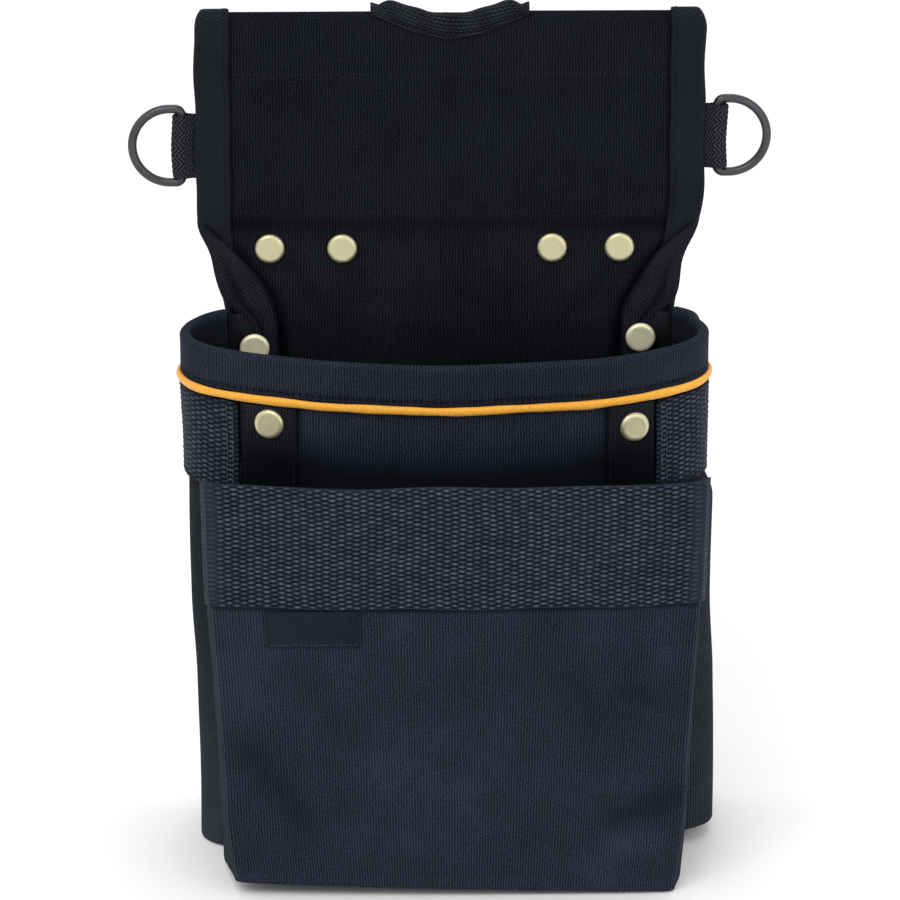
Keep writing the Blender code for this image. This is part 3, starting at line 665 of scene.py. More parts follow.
def make(name, points, faces, material, nodes, body, uv, tones):
    """A smooth-shaded closed mesh from points in millimetres and arrays of faces."""
    points = np.asarray(points, float)
    tris = np.vstack([f[:, [0, k, k + 1]] for f in faces for k in range(1, f.shape[1] - 1)])
    a, b, c = (points[tris[:, k]] for k in range(3))
    if np.einsum("ij,ij->i", a, np.cross(b, c)).sum() < 0.0:
        faces = [f[:, ::-1] for f in faces]
    mesh = bpy.data.meshes.new(name)
    corners = np.concatenate([f.ravel() for f in faces]).astype(np.int32)
    sizes = np.concatenate([np.full(len(f), f.shape[1]) for f in faces])
    starts = np.concatenate([[0], np.cumsum(sizes)[:-1]]).astype(np.int32)
    mesh.vertices.add(len(points))
    mesh.vertices.foreach_set("co", (points * MM + ORIGIN).astype(np.float32).ravel())
    mesh.loops.add(len(corners))
    mesh.loops.foreach_set("vertex_index", corners)
    mesh.polygons.add(len(sizes))
    mesh.polygons.foreach_set("loop_start", starts)
    mesh.update(calc_edges=True)
    mesh.polygons.foreach_set("use_smooth", np.ones(len(sizes), bool))
    layer = mesh.uv_layers.new(name="Cloth")
    layer.data.foreach_set("uv", np.asarray(uv, np.float32)[corners].ravel())
    for tone, values in tones.items():
        layer = mesh.attributes.new(tone, "FLOAT", "POINT")
        layer.data.foreach_set("value", np.asarray(values, np.float32).ravel())
    mesh.validate()
    mesh.materials.append(material)
    thing = bpy.data.objects.new(name, mesh)
    bpy.context.scene.collection.objects.link(thing)
    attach(thing, body)
    if nodes:
        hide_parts(*nodes)


def place(surface, a, b, lift=0.0, step=(0.05, 0.05)):
    """Points lift millimetres off a surface after it has settled, and their outward normals."""
    a, b = np.broadcast_arrays(np.asarray(a, float), np.asarray(b, float))
    da, db = step
    spot = settle(surface(a, b))
    across = settle(surface(a + da, b)) - settle(surface(a - da, b))
    along = settle(surface(a, b + db)) - settle(surface(a, b - db))
    normal = unit(np.cross(across, along))
    return spot + normal * np.asarray(lift)[..., None], normal


def marks(low, high, step, edge):
    """Even places from low to high, with closer ones near both ends for the rounded rims."""
    count = max(int(round((high - low - 2 * edge) / step)), 2)
    middle = np.linspace(low + edge, high - edge, count + 1)
    near = edge * np.array([0.0, 0.08, 0.3, 0.62])
    return np.concatenate([low + near, middle, (high - near)[::-1]])


def quads(grid, beside):
    """Faces between the rows of a grid of point numbers. beside holds each point's neighbour."""
    corners = [grid[..., :-1, :], beside[..., :-1, :], beside[..., 1:, :], grid[..., 1:, :]]
    return np.stack(corners, -1).reshape(-1, 4)


def round_quads(grid):
    return quads(grid, np.roll(grid, -1, axis=-1))


def fans(ring, tip):
    """Triangles from rings of point numbers to the point that closes each."""
    corners = np.broadcast_arrays(ring, np.roll(ring, -1, axis=-1), tip)
    return np.stack(corners, -1).reshape(-1, 3)


def shell(name, surface, a, b, thick, material, slot, nodes=(), relief=None, uv=None, scale=1.0,
          step=(0.05, 0.05), **tones):
    """A cloth around a surface: both faces, with rims rounded to its thickness."""
    A, B = np.meshgrid(a, b)
    middle, normal = place(surface, A, B, step=step)
    edge_a = np.minimum(A - a[0], a[-1] - A) * scale
    edge_b = np.minimum(B - b[0], b[-1] - B)
    near = np.clip(np.stack([edge_a, edge_b]) / (thick / 2), 0.0, 1.0)
    swell = np.sqrt(1.0 - (1.0 - near) ** 2).min(axis=0)
    raised = relief(A, B) if relief is not None else np.zeros(A.shape)
    front = middle + normal * (swell * (thick / 2 + raised))[..., None]
    back = middle - normal * (swell * (thick / 2 - np.minimum(raised, 0.0) * 0.6))[..., None]
    rows, columns = A.shape
    top = np.arange(rows * columns).reshape(rows, columns)
    under = top.copy()
    count = (rows - 2) * (columns - 2)
    under[1:-1, 1:-1] = rows * columns + np.arange(count).reshape(rows - 2, columns - 2)

    def both(values):
        """Values for the front's points, then for the back's, which has no rim of its own."""
        values = np.broadcast_to(values, A.shape)
        return np.append(values.ravel(), values[1:-1, 1:-1].ravel())

    points = np.vstack([front.reshape(-1, 3), back[1:-1, 1:-1].reshape(-1, 3)])
    U, V = uv(A, B) if uv is not None else (A, B)
    flat = np.stack([both(U), both(V)], -1)
    values = {tone: both(rule(A, B)) for tone, rule in tones.items()}
    faces = np.vstack([quads(top[:, :-1], top[:, 1:]),
                       quads(under[:, :-1], under[:, 1:])[:, ::-1]])
    make(name, points, [faces], material, nodes, "pouch", flat, values)


def loft(name, sections, material, slot, nodes, body="pouch", uv=None, closed=False, tips=None,
         **tones):
    """Closed sections joined in a row, capped round tips or else the middles of the end ones."""
    rows, count = sections.shape[:2]
    points = sections.reshape(-1, 3)
    grid = np.arange(rows * count).reshape(rows, count)
    if uv is None:
        uv = np.stack(np.meshgrid(run_along(sections[0]), run_along(sections.mean(1))), -1)
    if closed:
        faces = [round_quads(np.vstack([grid, grid[:1]]))]
    else:
        tips = sections[[0, -1]].mean(1) if tips is None else tips
        points = np.vstack([points, tips])
        faces = [round_quads(grid), np.vstack([fans(grid[0], rows * count)[:, ::-1],
                                               fans(grid[-1], rows * count + 1)])]
    spare = len(points) - rows * count
    uv = np.vstack([uv.reshape(-1, 2), uv[[0, -1]].mean(1)[:spare]])
    tones = {tone: np.append(values, np.zeros(spare)) for tone, values in tones.items()}
    make(name, points, faces, material, nodes, body, uv, tones)


def cord_sections(line, up, radius, flat=1.0, closed=False):
    """Round sections along a line, made flat times as thick towards up."""
    if closed:
        run = unit(np.roll(line, -1, axis=0) - np.roll(line, 1, axis=0))
    else:
        run = unit(np.gradient(line, axis=0))
    one = unit(up - run * (up * run).sum(-1, keepdims=True))
    two = np.cross(run, one)
    turn = np.linspace(0.0, math.tau, CORD_SIDES, endpoint=False)
    radius = np.broadcast_to(radius, (len(line),))[:, None, None]
    return (line[:, None] + one[:, None] * np.cos(turn)[None, :, None] * radius * flat
            + two[:, None] * np.sin(turn)[None, :, None] * radius)


def sew(name, seams, material, pitch=2.7, length=2.05, radius=0.2):
    """Lock-stitches along seams. Each seam is (points, normals): an arched thread for each stitch."""
    rings, sides = THREAD_RINGS, THREAD_SIDES
    share = np.linspace(0.0, 1.0, rings)
    arch = np.sin(np.pi * share)
    thin = radius * (0.35 + 0.65 * arch ** 0.5)
    turn = np.linspace(0.0, math.tau, sides, endpoint=False)
    all_points, all_sides, all_ends, all_uv, start = [], [], [], [], 0
    for line, normal in seams:
        run = run_along(line)
        count = max(int((run[-1] - length) / pitch) + 1, 1)
        first = (run[-1] - (count - 1) * pitch - length) / 2
        at = first + np.arange(count)[:, None] * pitch + share[None, :] * length
        spot = np.stack([np.interp(at, run, line[:, k]) for k in range(3)], -1)
        up = unit(np.stack([np.interp(at, run, normal[:, k]) for k in range(3)], -1))
        sideways = unit(np.cross(up, unit(spot[:, -1:] - spot[:, :1])))
        centre = spot + up * (arch * 0.22 - 0.12)[None, :, None]
        ring = (centre[:, :, None] + (sideways[:, :, None] * np.cos(turn)[:, None]
                                      + up[:, :, None] * np.sin(turn)[:, None]) * thin[:, None, None])
        grid = start + np.arange(count * rings * sides).reshape(count, rings, sides)
        tips = start + grid.size + np.arange(count * 2).reshape(count, 2)
        all_points += [ring.reshape(-1, 3), centre[:, [0, -1]].reshape(-1, 3)]
        all_sides.append(round_quads(grid))
        all_ends += [fans(grid[:, 0], tips[:, :1])[:, ::-1], fans(grid[:, -1], tips[:, 1:])]
        all_uv += [np.stack([np.tile(turn * radius, count * rings), np.repeat(at.ravel(), sides)], -1),
                   np.zeros((tips.size, 2))]
        start += grid.size + tips.size
    make(name, np.vstack(all_points), [np.vstack(all_sides), np.vstack(all_ends)], material, (),
         "pouch", np.vstack(all_uv), {})


def lathe(name, centre, facing, profile, material, slot, nodes):
    """A round piece turned about facing. The profile is (radius, height) from pole to pole."""
    facing = unit(facing)
    right = unit(np.cross(facing, [0.0, 0.0, 1.0]))
    turn = np.linspace(0.0, math.tau, LATHE_SIDES, endpoint=False)[:, None]
    ring = right * np.cos(turn) + np.cross(right, facing) * np.sin(turn)
    radius, height = profile[:, 0, None, None], profile[:, 1, None, None]
    sections = centre + ring * radius + facing * height
    loft(name, sections[1:-1], material, slot, nodes, tips=sections[[0, -1], 0])


def rounded(profile, rounds=2):
    """Corner-cutting of a profile, so that a turned edge catches the light."""
    line = np.array(profile, float)
    for _ in range(rounds):
        cut = [line[0]]
        for p, q in zip(line[:-1], line[1:]):
            cut += [p * 0.75 + q * 0.25, p * 0.25 + q * 0.75]
        cut.append(line[-1])
        line = np.array(cut)
    return line


# ---------------------------------------------------------------- floats of the webbing

def chance_of(column, line):
    """An even spread of numbers from 0 to 1, one for each cell of the weave."""
    value = np.sin(column * 12.9898 + line * 78.233) * 43758.5453
    return value - np.floor(value)


FLOAT_WIDE = 2.85
FLOAT_TALL = 1.96
YARN = 0.42


def floats(s, z):
    """Height, 0 to 1, of the webbing's floats: bricks in columns, every other one shifted."""
    s = s + 0.25 * np.sin(z / 7.3) + 0.14 * np.sin(z / 2.9 + s / 9.0)
    column = np.floor(s / FLOAT_WIDE)
    fx = s / FLOAT_WIDE - column - 0.5
    shift = 0.5 * (column % 2) + 0.07 * np.sin(column * 2.1) + 0.06 * np.sin(s / 8.0)
    level = z / FLOAT_TALL + shift
    line = np.floor(level)
    fz = level - line - 0.5
    # As colour, the crown is a painted highlight on each float and the gap is painted shade between
    # rows.
    crown = 0.26 + 0.74 * bump(fx, 0.27)
    gap = smooth((np.abs(fz) - 0.15) / 0.15) * smooth((0.54 - np.abs(fx)) / 0.10)
    yarns = 0.88 + 0.12 * np.cos(fz * FLOAT_TALL / YARN * math.tau)
    uneven = 0.50 + 0.50 * chance_of(column, line) ** 1.2
    return crown * (1.0 - 0.95 * gap) * yarns * uneven


# ---------------------------------------------------------------- back panel

TOP_RIVETS = [box_middle("rivet_cap_top_%d" % k)[[0, 2]] for k in (1, 2, 3, 4)]
ACROSS = (0.001, 0.2)
PANEL_SCALE = 90.0


def panel(a, run):
    """The panel's cloth, its fold pulled down where the hand notch is cut."""
    y, z = panel_point(run)
    notch = 3.7 * smooth((25.0 - np.abs(a * half_width(z))) / 14.0) * smooth((z - 318.0) / 6.0)
    return stack(a * panel_half(z), y, z - notch)


def panel_relief(a, run):
    z = panel_point(run)[1]
    x = a * half_width(z)
    pressed = -0.30 * bump(z - STITCH_UPPER, 1.1) - 0.30 * bump(z - STITCH_LOWER, 1.1)
    for rx, rz in TOP_RIVETS:
        pressed = pressed - 0.35 * bump(np.hypot(x - rx, z - rz) - 4.0, 3.5)
    return pressed + 0.072 * np.sin(x / 1.4) * bump(z - STITCH_LOWER, 5.0)


def panel_dark(a, run):
    """Painted shade: in the crevice beside the waist tape, soft under the belt tunnel's lower seam,
    beside the edge binding and low down where the panel goes into the pocket; lit is painted light
    around the waist.
    """
    y, z = panel_point(run)
    x = np.abs(a) * half_width(z)
    front = smooth((1.6 - y) / 0.8)
    clear = waist_inner(z) - x
    crevice = bump(np.maximum(clear - 1.2, 0.0), 2.8) * smooth((247.0 - z) / 4.0)
    under = (0.34 + 0.30 * smooth((x - 50.0) / 35.0)) * bump(z - STITCH_LOWER + 4.6, 3.2)
    edge = 0.7 * bump(x - BINDING_EDGE, 0.9) * smooth((z - 236.0) / 4.0)
    low = 0.30 * smooth((196.0 - z) / 14.0)
    lit = 0.22 * smooth((241.0 - z) / 10.0) * smooth((z - 198.0) / 8.0)
    return front * np.clip(np.maximum(crevice, edge) + under + low - lit, -0.5, 1.0)


shell("back_panel_cloth", panel, np.linspace(-1.0, 1.0, 151), marks(0.0, PROFILE_END, 1.1, 0.7),
      PANEL_CLOTH, BLACK, "canvas_black", ["back_panel"], relief=panel_relief,
      uv=lambda a, run: (a * half_width(panel_point(run)[1]), run), scale=95.0, step=ACROSS,
      deep=panel_dark)


def board(a, z):
    return stack(a * (half_width(z) - 4.0), PANEL_CLOTH + GAP + BOARD / 2, z)


shell("back_board_sheet", board, np.linspace(-1.0, 1.0, 61), marks(8.0, 201.0, 3.0, 0.8), BOARD,
      BOARD_FIBRE, "board_grey", ["back_board"], uv=lambda a, z: (a * PANEL_SCALE, z), scale=88.0,
      step=(0.001, 0.05))

LINING_CLOSE = PANEL_CLOTH + GAP + CANVAS / 2
LINING_FAR = LINING_CLOSE + BOARD + GAP
lining_depth = eased([(203.0, LINING_FAR), (209.0, LINING_FAR - 0.6), (215.0, LINING_CLOSE + 0.3),
                      (219.0, LINING_CLOSE)], 1.5)
lining_inset = eased([(205.5, 0.0), (209.5, BINDING_LEG)], 0.8)


def lining(a, z):
    return stack(a * (np.minimum(half_width(z), 92.5) - lining_inset(z)), lining_depth(z), z)


def lining_relief(a, z):
    flat = smooth((200.0 - z) / 30.0) * smooth((z - 3.0) / 20.0)
    return 0.35 * flat * ripple(a * PANEL_SCALE, z, 14.0, 7.0)


shell("back_lining_cloth", lining, np.linspace(-1.0, 1.0, 121), marks(WALL_FOOT, 242.0, 1.6, 0.6),
      CANVAS, LINING, "lining_black", ["back_lining"], relief=lining_relief,
      uv=lambda a, z: (a * PANEL_SCALE, z), scale=PANEL_SCALE, step=(0.001, 0.05))


# ---------------------------------------------------------------- bindings

EDGE_ARC = PANEL_CLOTH / 2 + GAP + TAPE / 2
ARC_LENGTH = math.pi * EDGE_ARC
LEG_RUN = BINDING_LEG - 0.7
BINDING_RUN = 2 * LEG_RUN + ARC_LENGTH
BINDING_SEAM = 2.2


def binding_run(side, a):
    """Distance over the tape from its front edge. The right side's tape is laid the other way."""
    return a if side < 0 else BINDING_RUN - a


def binding_at(side):
    def surface(a, run):
        a = binding_run(side, a)
        half = panel_half(panel_point(run)[1])
        leg = np.clip(half - BINDING_EDGE, 3.0, BINDING_LEG)
        ahead = np.clip(a, 0.0, LEG_RUN) - np.clip(a - LEG_RUN - ARC_LENGTH, 0.0, LEG_RUN)
        turn = np.clip((a - LEG_RUN) / ARC_LENGTH, 0.0, 1.0) * np.pi
        x = half - leg + ahead * (leg - 0.7) / LEG_RUN + EDGE_ARC * np.sin(turn)
        return stack(side * x, *panel_point(run, EDGE_ARC * np.cos(turn)))
    return surface


BINDING_START = profile_at_front(203.0)
for side, word in SIDES:
    tape = binding_at(side)

    def binding_relief(a, run, side=side):
        near = binding_run(side, a)
        sewn = np.minimum(np.abs(near - BINDING_SEAM), np.abs(near - (BINDING_RUN - BINDING_SEAM)))
        pucker = 0.10 * np.sin(run / 2.7 * math.tau) * bump(sewn, 2.2)
        return 0.12 * ripple(near, run, 4.0, 8.0 + side) + pucker - 0.22 * bump(sewn, 0.7)

    # Painted shade in the crevice beside the waist tape, in dashes along the seams and along the
    # tape's edges.
    def binding_dark(a, run, side=side):
        near = binding_run(side, a)
        edge = np.minimum(near, BINDING_RUN - near)
        z = panel_point(run)[1]
        x = half_width(z) - BINDING_LEG + np.minimum(near, LEG_RUN)
        clear = np.maximum(waist_inner(z) - x, x - waist_outer(z))
        crevice = bump(np.maximum(clear - 0.9, 0.0), 2.6) * smooth((244.0 - z) / 3.0)
        sewn = bump(edge - BINDING_SEAM, 0.55) * (0.35 + 0.3 * np.sin(run / 1.35 * math.pi))
        return np.clip(np.where(near < LEG_RUN, crevice, 0.0) + sewn + 0.55 * bump(edge, 0.8),
                       0.0, 1.0)

    shell("edge_binding_tape_" + word, tape, marks(0.0, BINDING_RUN, 0.55, 0.5),
          marks(BINDING_START, PROFILE_END - 0.3, 0.9, 0.5), TAPE, TAPE_CLOTH, "tape_black",
          ["edge_binding_" + word], relief=binding_relief, deep=binding_dark)
    runs = np.arange(profile_at_front(236.0), PROFILE_END - 3.0, 0.8)
    sew("edge_binding_stitches_" + word,
        [place(tape, binding_run(side, a), runs, TAPE / 2 - 0.14)
         for a in (BINDING_SEAM, BINDING_RUN - BINDING_SEAM)], DARK_THREAD)

notch_top = eased([(0.0, 325.6), (9.0, 326.4), (15.0, 328.4), (20.0, 330.2), (23.5, 330.9),
                   (27.0, 329.6), (30.0, 327.9), (33.0, 327.0)], 1.3)
notch_low = eased([(0.0, 316.6), (6.0, 317.0), (12.0, 318.6), (18.0, 320.8), (24.0, 323.4),
                   (30.0, 326.4), (33.0, 327.0)], 2.0)
NOTCH_FRONT = -GAP - TAPE / 2
NOTCH_REAR = PANEL_CLOTH + 2 * FOLD_RADIUS + GAP + TAPE / 2
NOTCH_HALF = 31.0
NOTCH_RUN = 26.0
NOTCH_SEAM = 2.3


def notch(x, t):
    """The notch's tape: up the front, over the edge and down the rear as t runs over it."""
    top, low = notch_top(np.abs(x)), notch_low(np.abs(x))
    reach = (NOTCH_REAR - NOTCH_FRONT) / 2
    leg = np.maximum(top - reach - low, 0.3)
    arc = math.pi * reach
    at = t / NOTCH_RUN * (2 * leg + arc)
    turn = np.clip((at - leg) / arc, 0.0, 1.0) * np.pi
    y = (NOTCH_FRONT + NOTCH_REAR) / 2 - reach * np.cos(turn)
    z = low + np.clip(at, 0.0, leg) + reach * np.sin(turn) - np.clip(at - leg - arc, 0.0, leg)
    return stack(x, y, z)


def notch_gather(x, t):
    return np.sin(x / 1.9 + 0.12 * t)


def notch_relief(x, t):
    over = notch(x, t)[..., 2] - notch_low(np.abs(x)) - 2.0
    rolled = 0.30 * bump(np.minimum(t, NOTCH_RUN - t) - 1.0, 0.8)
    return rolled - 0.4 * bump(over, 0.7) + 0.28 * notch_gather(x, t) * bump(over - 4.0, 5.0)


# Painted shade along the seams and the tape's edges, and painted shade and light over the gathers.
def notch_dark(x, t):
    near = np.minimum(t, NOTCH_RUN - t)
    return np.clip(0.85 * bump(near - NOTCH_SEAM, 0.5) + 0.6 * bump(near, 0.45)
                   + 0.22 * notch_gather(x, t), -0.3, 0.95)


shell("notch_binding_tape", notch, marks(-NOTCH_HALF, NOTCH_HALF, 0.5, 0.5),
      marks(0.0, NOTCH_RUN, 0.4, 0.5), TAPE, NOTCH_CLOTH, "tape_black", ["notch_binding"],
      relief=notch_relief, uv=lambda x, t: (t * 0.9 + 0.10 * x, x), deep=notch_dark)
xs = np.linspace(-28.0, 28.0, 200)
sew("notch_stitches", [place(notch, xs, t, TAPE / 2 - 0.14)
                       for t in (NOTCH_SEAM, NOTCH_RUN - NOTCH_SEAM)], DARK_THREAD, pitch=2.6)

# Rows that close the belt tunnel, seen on the panel's front and on the flap behind.
across = np.linspace(-0.895, 0.895, 300)
rows = [place(panel, across, profile_at(z), PANEL_CLOTH / 2 - 0.38, ACROSS)
        for profile_at in (profile_at_front, profile_at_rear) for z in (STITCH_UPPER, STITCH_LOWER)]
sew("tunnel_stitches", rows, DARK_THREAD, pitch=2.9, length=2.3)


# ---------------------------------------------------------------- rings and tabs

def arc(x, y, radius, start, end, count):
    turn = np.radians(np.linspace(start, end, count))
    return stack(x + radius * np.cos(turn), y + radius * np.sin(turn))


TAB_START = 87.5
TAB_BEND = 101.9
TAB_HALF_HEIGHT = 12.7
TAB_SEAMS = (98.7, 100.4)
LOOP_ROOM = 0.7
for side, word in SIDES:
    axis = (RING_AXES[word + "_ring"] - ORIGIN) / MM
    middle_z = box_middle("ring_tab_" + word)[2]
    bar_x, bar_y = abs(axis[0]), axis[1]
    loop = RING_WIRE + GAP + TAB_WEBBING / 2 + LOOP_ROOM
    ply = 0.15 + TAB_WEBBING / 2
    bow = np.vstack([[[TAB_BEND, bar_y - ply], [TAB_BEND + 0.8, bar_y - ply - 0.35]],
                     arc(bar_x, bar_y, loop, -118, 118, 25),
                     [[TAB_BEND + 0.8, bar_y + ply + 0.35], [TAB_BEND, bar_y + ply]]])
    path = np.vstack([[TAB_START, bar_y - ply], bow, [TAB_START, bar_y + ply]])
    for _ in range(2):
        mid = path[1:-1]
        path[1:-1] = 0.5 * mid + 0.25 * (path[:-2] + path[2:])
    path_run = run_along(path)
    tab_end = path_run[-1]

    def tab(a, h, side=side, path=path, path_run=path_run, middle_z=middle_z, tab_end=tab_end):
        at = a if side > 0 else tab_end - a
        x, y = np.interp(at, path_run, path[:, 0]), np.interp(at, path_run, path[:, 1])
        return stack(side * x, y, middle_z + h)

    def tab_relief(a, h):
        return 0.10 * np.sin(h / 2.2 * math.tau) + 0.05 * np.sin(a * 2.0)

    shell("ring_tab_webbing_" + word, tab, marks(0.0, tab_end, 0.4, 0.6),
          marks(-TAB_HALF_HEIGHT, TAB_HALF_HEIGHT, 0.4, 0.6), TAB_WEBBING, TAB_CLOTH, "tape_black",
          ["ring_tab_" + word], relief=tab_relief, uv=lambda a, h: (h, a))
    heights = np.linspace(-11.0, 11.0, 60)
    lines = []
    for x_at in TAB_SEAMS:
        at = float(np.interp(x_at, path[:8, 0], path_run[:8]))
        lines += [place(tab, a, heights, TAB_WEBBING / 2) for a in (at, tab_end - at)]
    sew("ring_tab_stitches_" + word, lines, DARK_THREAD, pitch=2.2, length=1.7)

    wire = np.vstack([arc(RING_BEND, RING_BEND - RING_ARC, RING_BEND, 180, 270, 14),
                      arc(RING_REACH, 0.0, RING_ARC, -90, 90, 72),
                      arc(RING_BEND, RING_ARC - RING_BEND, RING_BEND, 90, 180, 14),
                      stack(0.0, np.linspace(RING_ARC - RING_BEND, RING_BEND - RING_ARC, 26)[1:-1])])
    line = stack(axis[0] + side * wire[:, 0], axis[1], middle_z + wire[:, 1])
    sections = cord_sections(line, np.array([0.0, 1.0, 0.0]), RING_WIRE, closed=True)
    loft("d_ring_wire_" + word, sections, RING_COAT, "ring_metal", ["d_ring_" + word],
         body=word + "_ring", closed=True)


# ---------------------------------------------------------------- main pocket

S_FRONT = s_of(2.8)
S_GUSSET = s_of(2.86)
S_END = S_TABLE[-1]
FRONT_TALL = 199.2


def rim_at(s):
    return rim_height(np.abs(u_of(s)))


def piping_at(s):
    return piping_height(np.abs(u_of(s)))


def front_wall(s, b):
    """The wall's cloth, up to just under the rim. b is the height at the front's middle."""
    start = WALL_FOOT - (WALL_FOOT - HEM) * smooth((6.8 - np.abs(u_of(s))) / 0.4)
    share = (b - WALL_FOOT) / (FRONT_TALL - WALL_FOOT)
    return wall(s, start + (rim_at(s) - 2.3 - start) * share)


def inside_mouth(s, b):
    """Painted shade on what goes down into the front pocket, deepest beside the seam tapes."""
    x = np.abs(wall(s, 160.0)[..., 0])
    beside = smooth((x - 35.0) / 30.0)
    return (0.90 + 0.10 * beside) * smooth((169.0 + 9.0 * beside - b) / (14.0 + 6.0 * beside))


# Painted shade inside the mouth and beside the seam tapes' edges nearer the middle; lit is painted
# light on the wall above the mouth.
def front_dark(s, b):
    beside = np.abs(np.abs(s) - s_of(2.0))
    lit = 0.24 * smooth((b - 168.0) / 6.0)
    return np.maximum(inside_mouth(s, b), 0.75 * bump(beside, 1.6)) - lit


FLANGE = s_of(6.9)


def gusset_relief(s, b):
    return 0.55 * ripple(s * 2.2, b, 12.0, 21.0) * smooth((170.0 - b) / 20.0)


def gusset_dark(s, b):
    """Painted shade under the webbing patch, at the patch's foot and, more lightly, higher up the
    wall; paler towards the underside.
    """
    flange = smooth((np.abs(s) - FLANGE) / 6.0) * smooth((b - 186.0) / 10.0)
    return (0.70 * bump(b - PATCH_BOTTOM + 1.0, 4.5) + 0.22 * smooth((b - 80.0) / 40.0)
            + smooth((b - 155.0) / 5.0) * (0.85 - 0.60 * flange)
            - 0.20 * smooth((60.0 - b) / 40.0) - 0.25 * smooth((5.0 - b) / 2.5))


wall_heights = marks(WALL_FOOT, FRONT_TALL, 1.5, 0.5)
shell("main_front_cloth", front_wall, marks(-S_FRONT, S_FRONT, 1.1, 0.5), wall_heights,
      CANVAS, NAVY, "canvas_navy", ["main_front_panel"], deep=front_dark)
for side, word in SIDES:
    ends = sorted((side * S_GUSSET, side * (S_END - 0.2)))
    shell("main_gusset_cloth_" + word, front_wall, marks(*ends, 1.0, 0.5), wall_heights,
          CANVAS, GUSSET_PAINTED_SHEEN_CLOTH, "canvas_black", ["main_gusset_" + word], relief=gusset_relief,
          deep=gusset_dark)

SEAM_OUT = CANVAS / 2 + LAYER_GAP + SEAM_TAPE / 2
SEAM_FOOT = 8.0
SEAM_TALL = 182.0
SEAM_INSET = 1.6


def up_to_piping(s, b, foot, tall, out):
    """A strip on the wall from foot to just under the piping as b runs from foot to tall."""
    top = piping_at(s) - PIPING_RADIUS - 0.5
    return wall(s, foot + (top - foot) * (b - foot) / (tall - foot), out)


def seam_tape_wall(s, b):
    return up_to_piping(s, b, SEAM_FOOT, SEAM_TALL, SEAM_OUT)


for side, word in SIDES:
    ends = sorted((side * s_of(2.0), side * s_of(2.91)))

    def tape_relief(s, b, ends=ends):
        sewn = np.minimum(s - ends[0], ends[1] - s) - SEAM_INSET
        return (-0.2 * bump(sewn, 0.6) + 0.25 * bump(s - sum(ends) / 2, 4.5)
                + 0.09 * np.sin(b / 2.7 * math.tau) * bump(sewn, 1.6))

    # Painted shade along the tape's edges and inside the mouth.
    def tape_dark(s, b, ends=ends):
        edge = np.minimum(s - ends[0], ends[1] - s)
        return np.maximum(0.80 * bump(edge, 0.9), inside_mouth(s, b))

    shell("front_seam_tape_cloth_" + word, seam_tape_wall, marks(*ends, 0.5, 0.45),
          marks(SEAM_FOOT, SEAM_TALL, 1.0, 0.45), SEAM_TAPE, RIBBED_CLOTH, "tape_black",
          ["front_seam_tape_" + word], relief=tape_relief, deep=tape_dark)
    heights = np.linspace(SEAM_FOOT + 2.0, SEAM_TALL - 1.0, 300)
    sew("front_seam_stitches_" + word,
        [place(seam_tape_wall, s, heights, SEAM_TAPE / 2 - 0.1)
         for s in (ends[0] + SEAM_INSET, ends[1] - SEAM_INSET)], DARK_THREAD)


COLLAR_LEG = 16.6
COLLAR_SEAM = 2.0


def collar(s, b):
    """The collar, folded over the rim. b is 0 at the fold and positive inside the pocket."""
    reach = CANVAS / 2 + LAYER_GAP + COLLAR / 2
    turn = np.clip(b / reach, -math.pi / 2, math.pi / 2)
    down = np.maximum(np.abs(b) - math.pi * reach / 2, 0.0) + reach * (1.0 - np.cos(turn))
    tall = rim_at(s) - piping_at(s) - PIPING_RADIUS - 0.6
    return wall(s, rim_at(s) - 0.35 - down * tall / 15.0, -reach * np.sin(turn))


def collar_relief(s, b):
    sewn = np.abs(b) - (COLLAR_LEG - COLLAR_SEAM)
    return (-0.28 * bump(sewn, 0.7) + 0.14 * ripple(s, b, 7.0, 9.0) + 0.35 * bump(b, 2.2)
            + 0.10 * np.sin(s / 2.6 * math.tau) * bump(sewn, 1.8))


def collar_dark(s, b):
    """Painted shade: in the holes along the seam, along the hems, and inside the mouth."""
    below = np.abs(b) - COLLAR_LEG
    holes = bump(below + COLLAR_SEAM, 1.0) * smooth(0.75 + 0.8 * np.sin(s / 2.6 * math.tau))
    return np.clip(0.90 * smooth((below + 0.9) / 0.8) + holes + 0.60 * smooth((b - 2.0) / 3.0),
                   0.0, 1.0)


COLLAR_END = s_of(6.96)
shell("main_collar_cloth", collar, marks(-COLLAR_END, COLLAR_END, 0.8, 0.5),
      marks(-COLLAR_LEG, COLLAR_LEG, 0.5, 0.5), COLLAR, COLLAR_CLOTH, "canvas_black",
      ["main_collar"], relief=collar_relief, deep=collar_dark)
along = np.linspace(-COLLAR_END + 2.0, COLLAR_END - 2.0, 700)
sew("collar_stitches", [place(collar, along, b, COLLAR / 2 - 0.16)
                        for b in (COLLAR_SEAM - COLLAR_LEG, COLLAR_LEG - COLLAR_SEAM)],
    DARK_THREAD, pitch=2.6, length=1.9)

PIPING_FLAT = 0.72
along = np.linspace(-s_of(6.6), s_of(6.6), 900)
reach = CANVAS / 2 + LAYER_GAP + PIPING_RADIUS * PIPING_FLAT
line = settle(wall(along, piping_at(along), reach))
up = unit(settle(wall(along, piping_at(along), reach + 0.5)) - line)
fat = PIPING_RADIUS * (0.88 + 0.05 * np.sin(along / 6.3) + 0.03 * np.sin(along / 2.7 + 1.0))
fat = fat * np.minimum(1.0, 0.35 + (COLLAR_END - np.abs(along)) / 5.0)
around = np.linspace(0.0, math.tau, CORD_SIDES, endpoint=False)
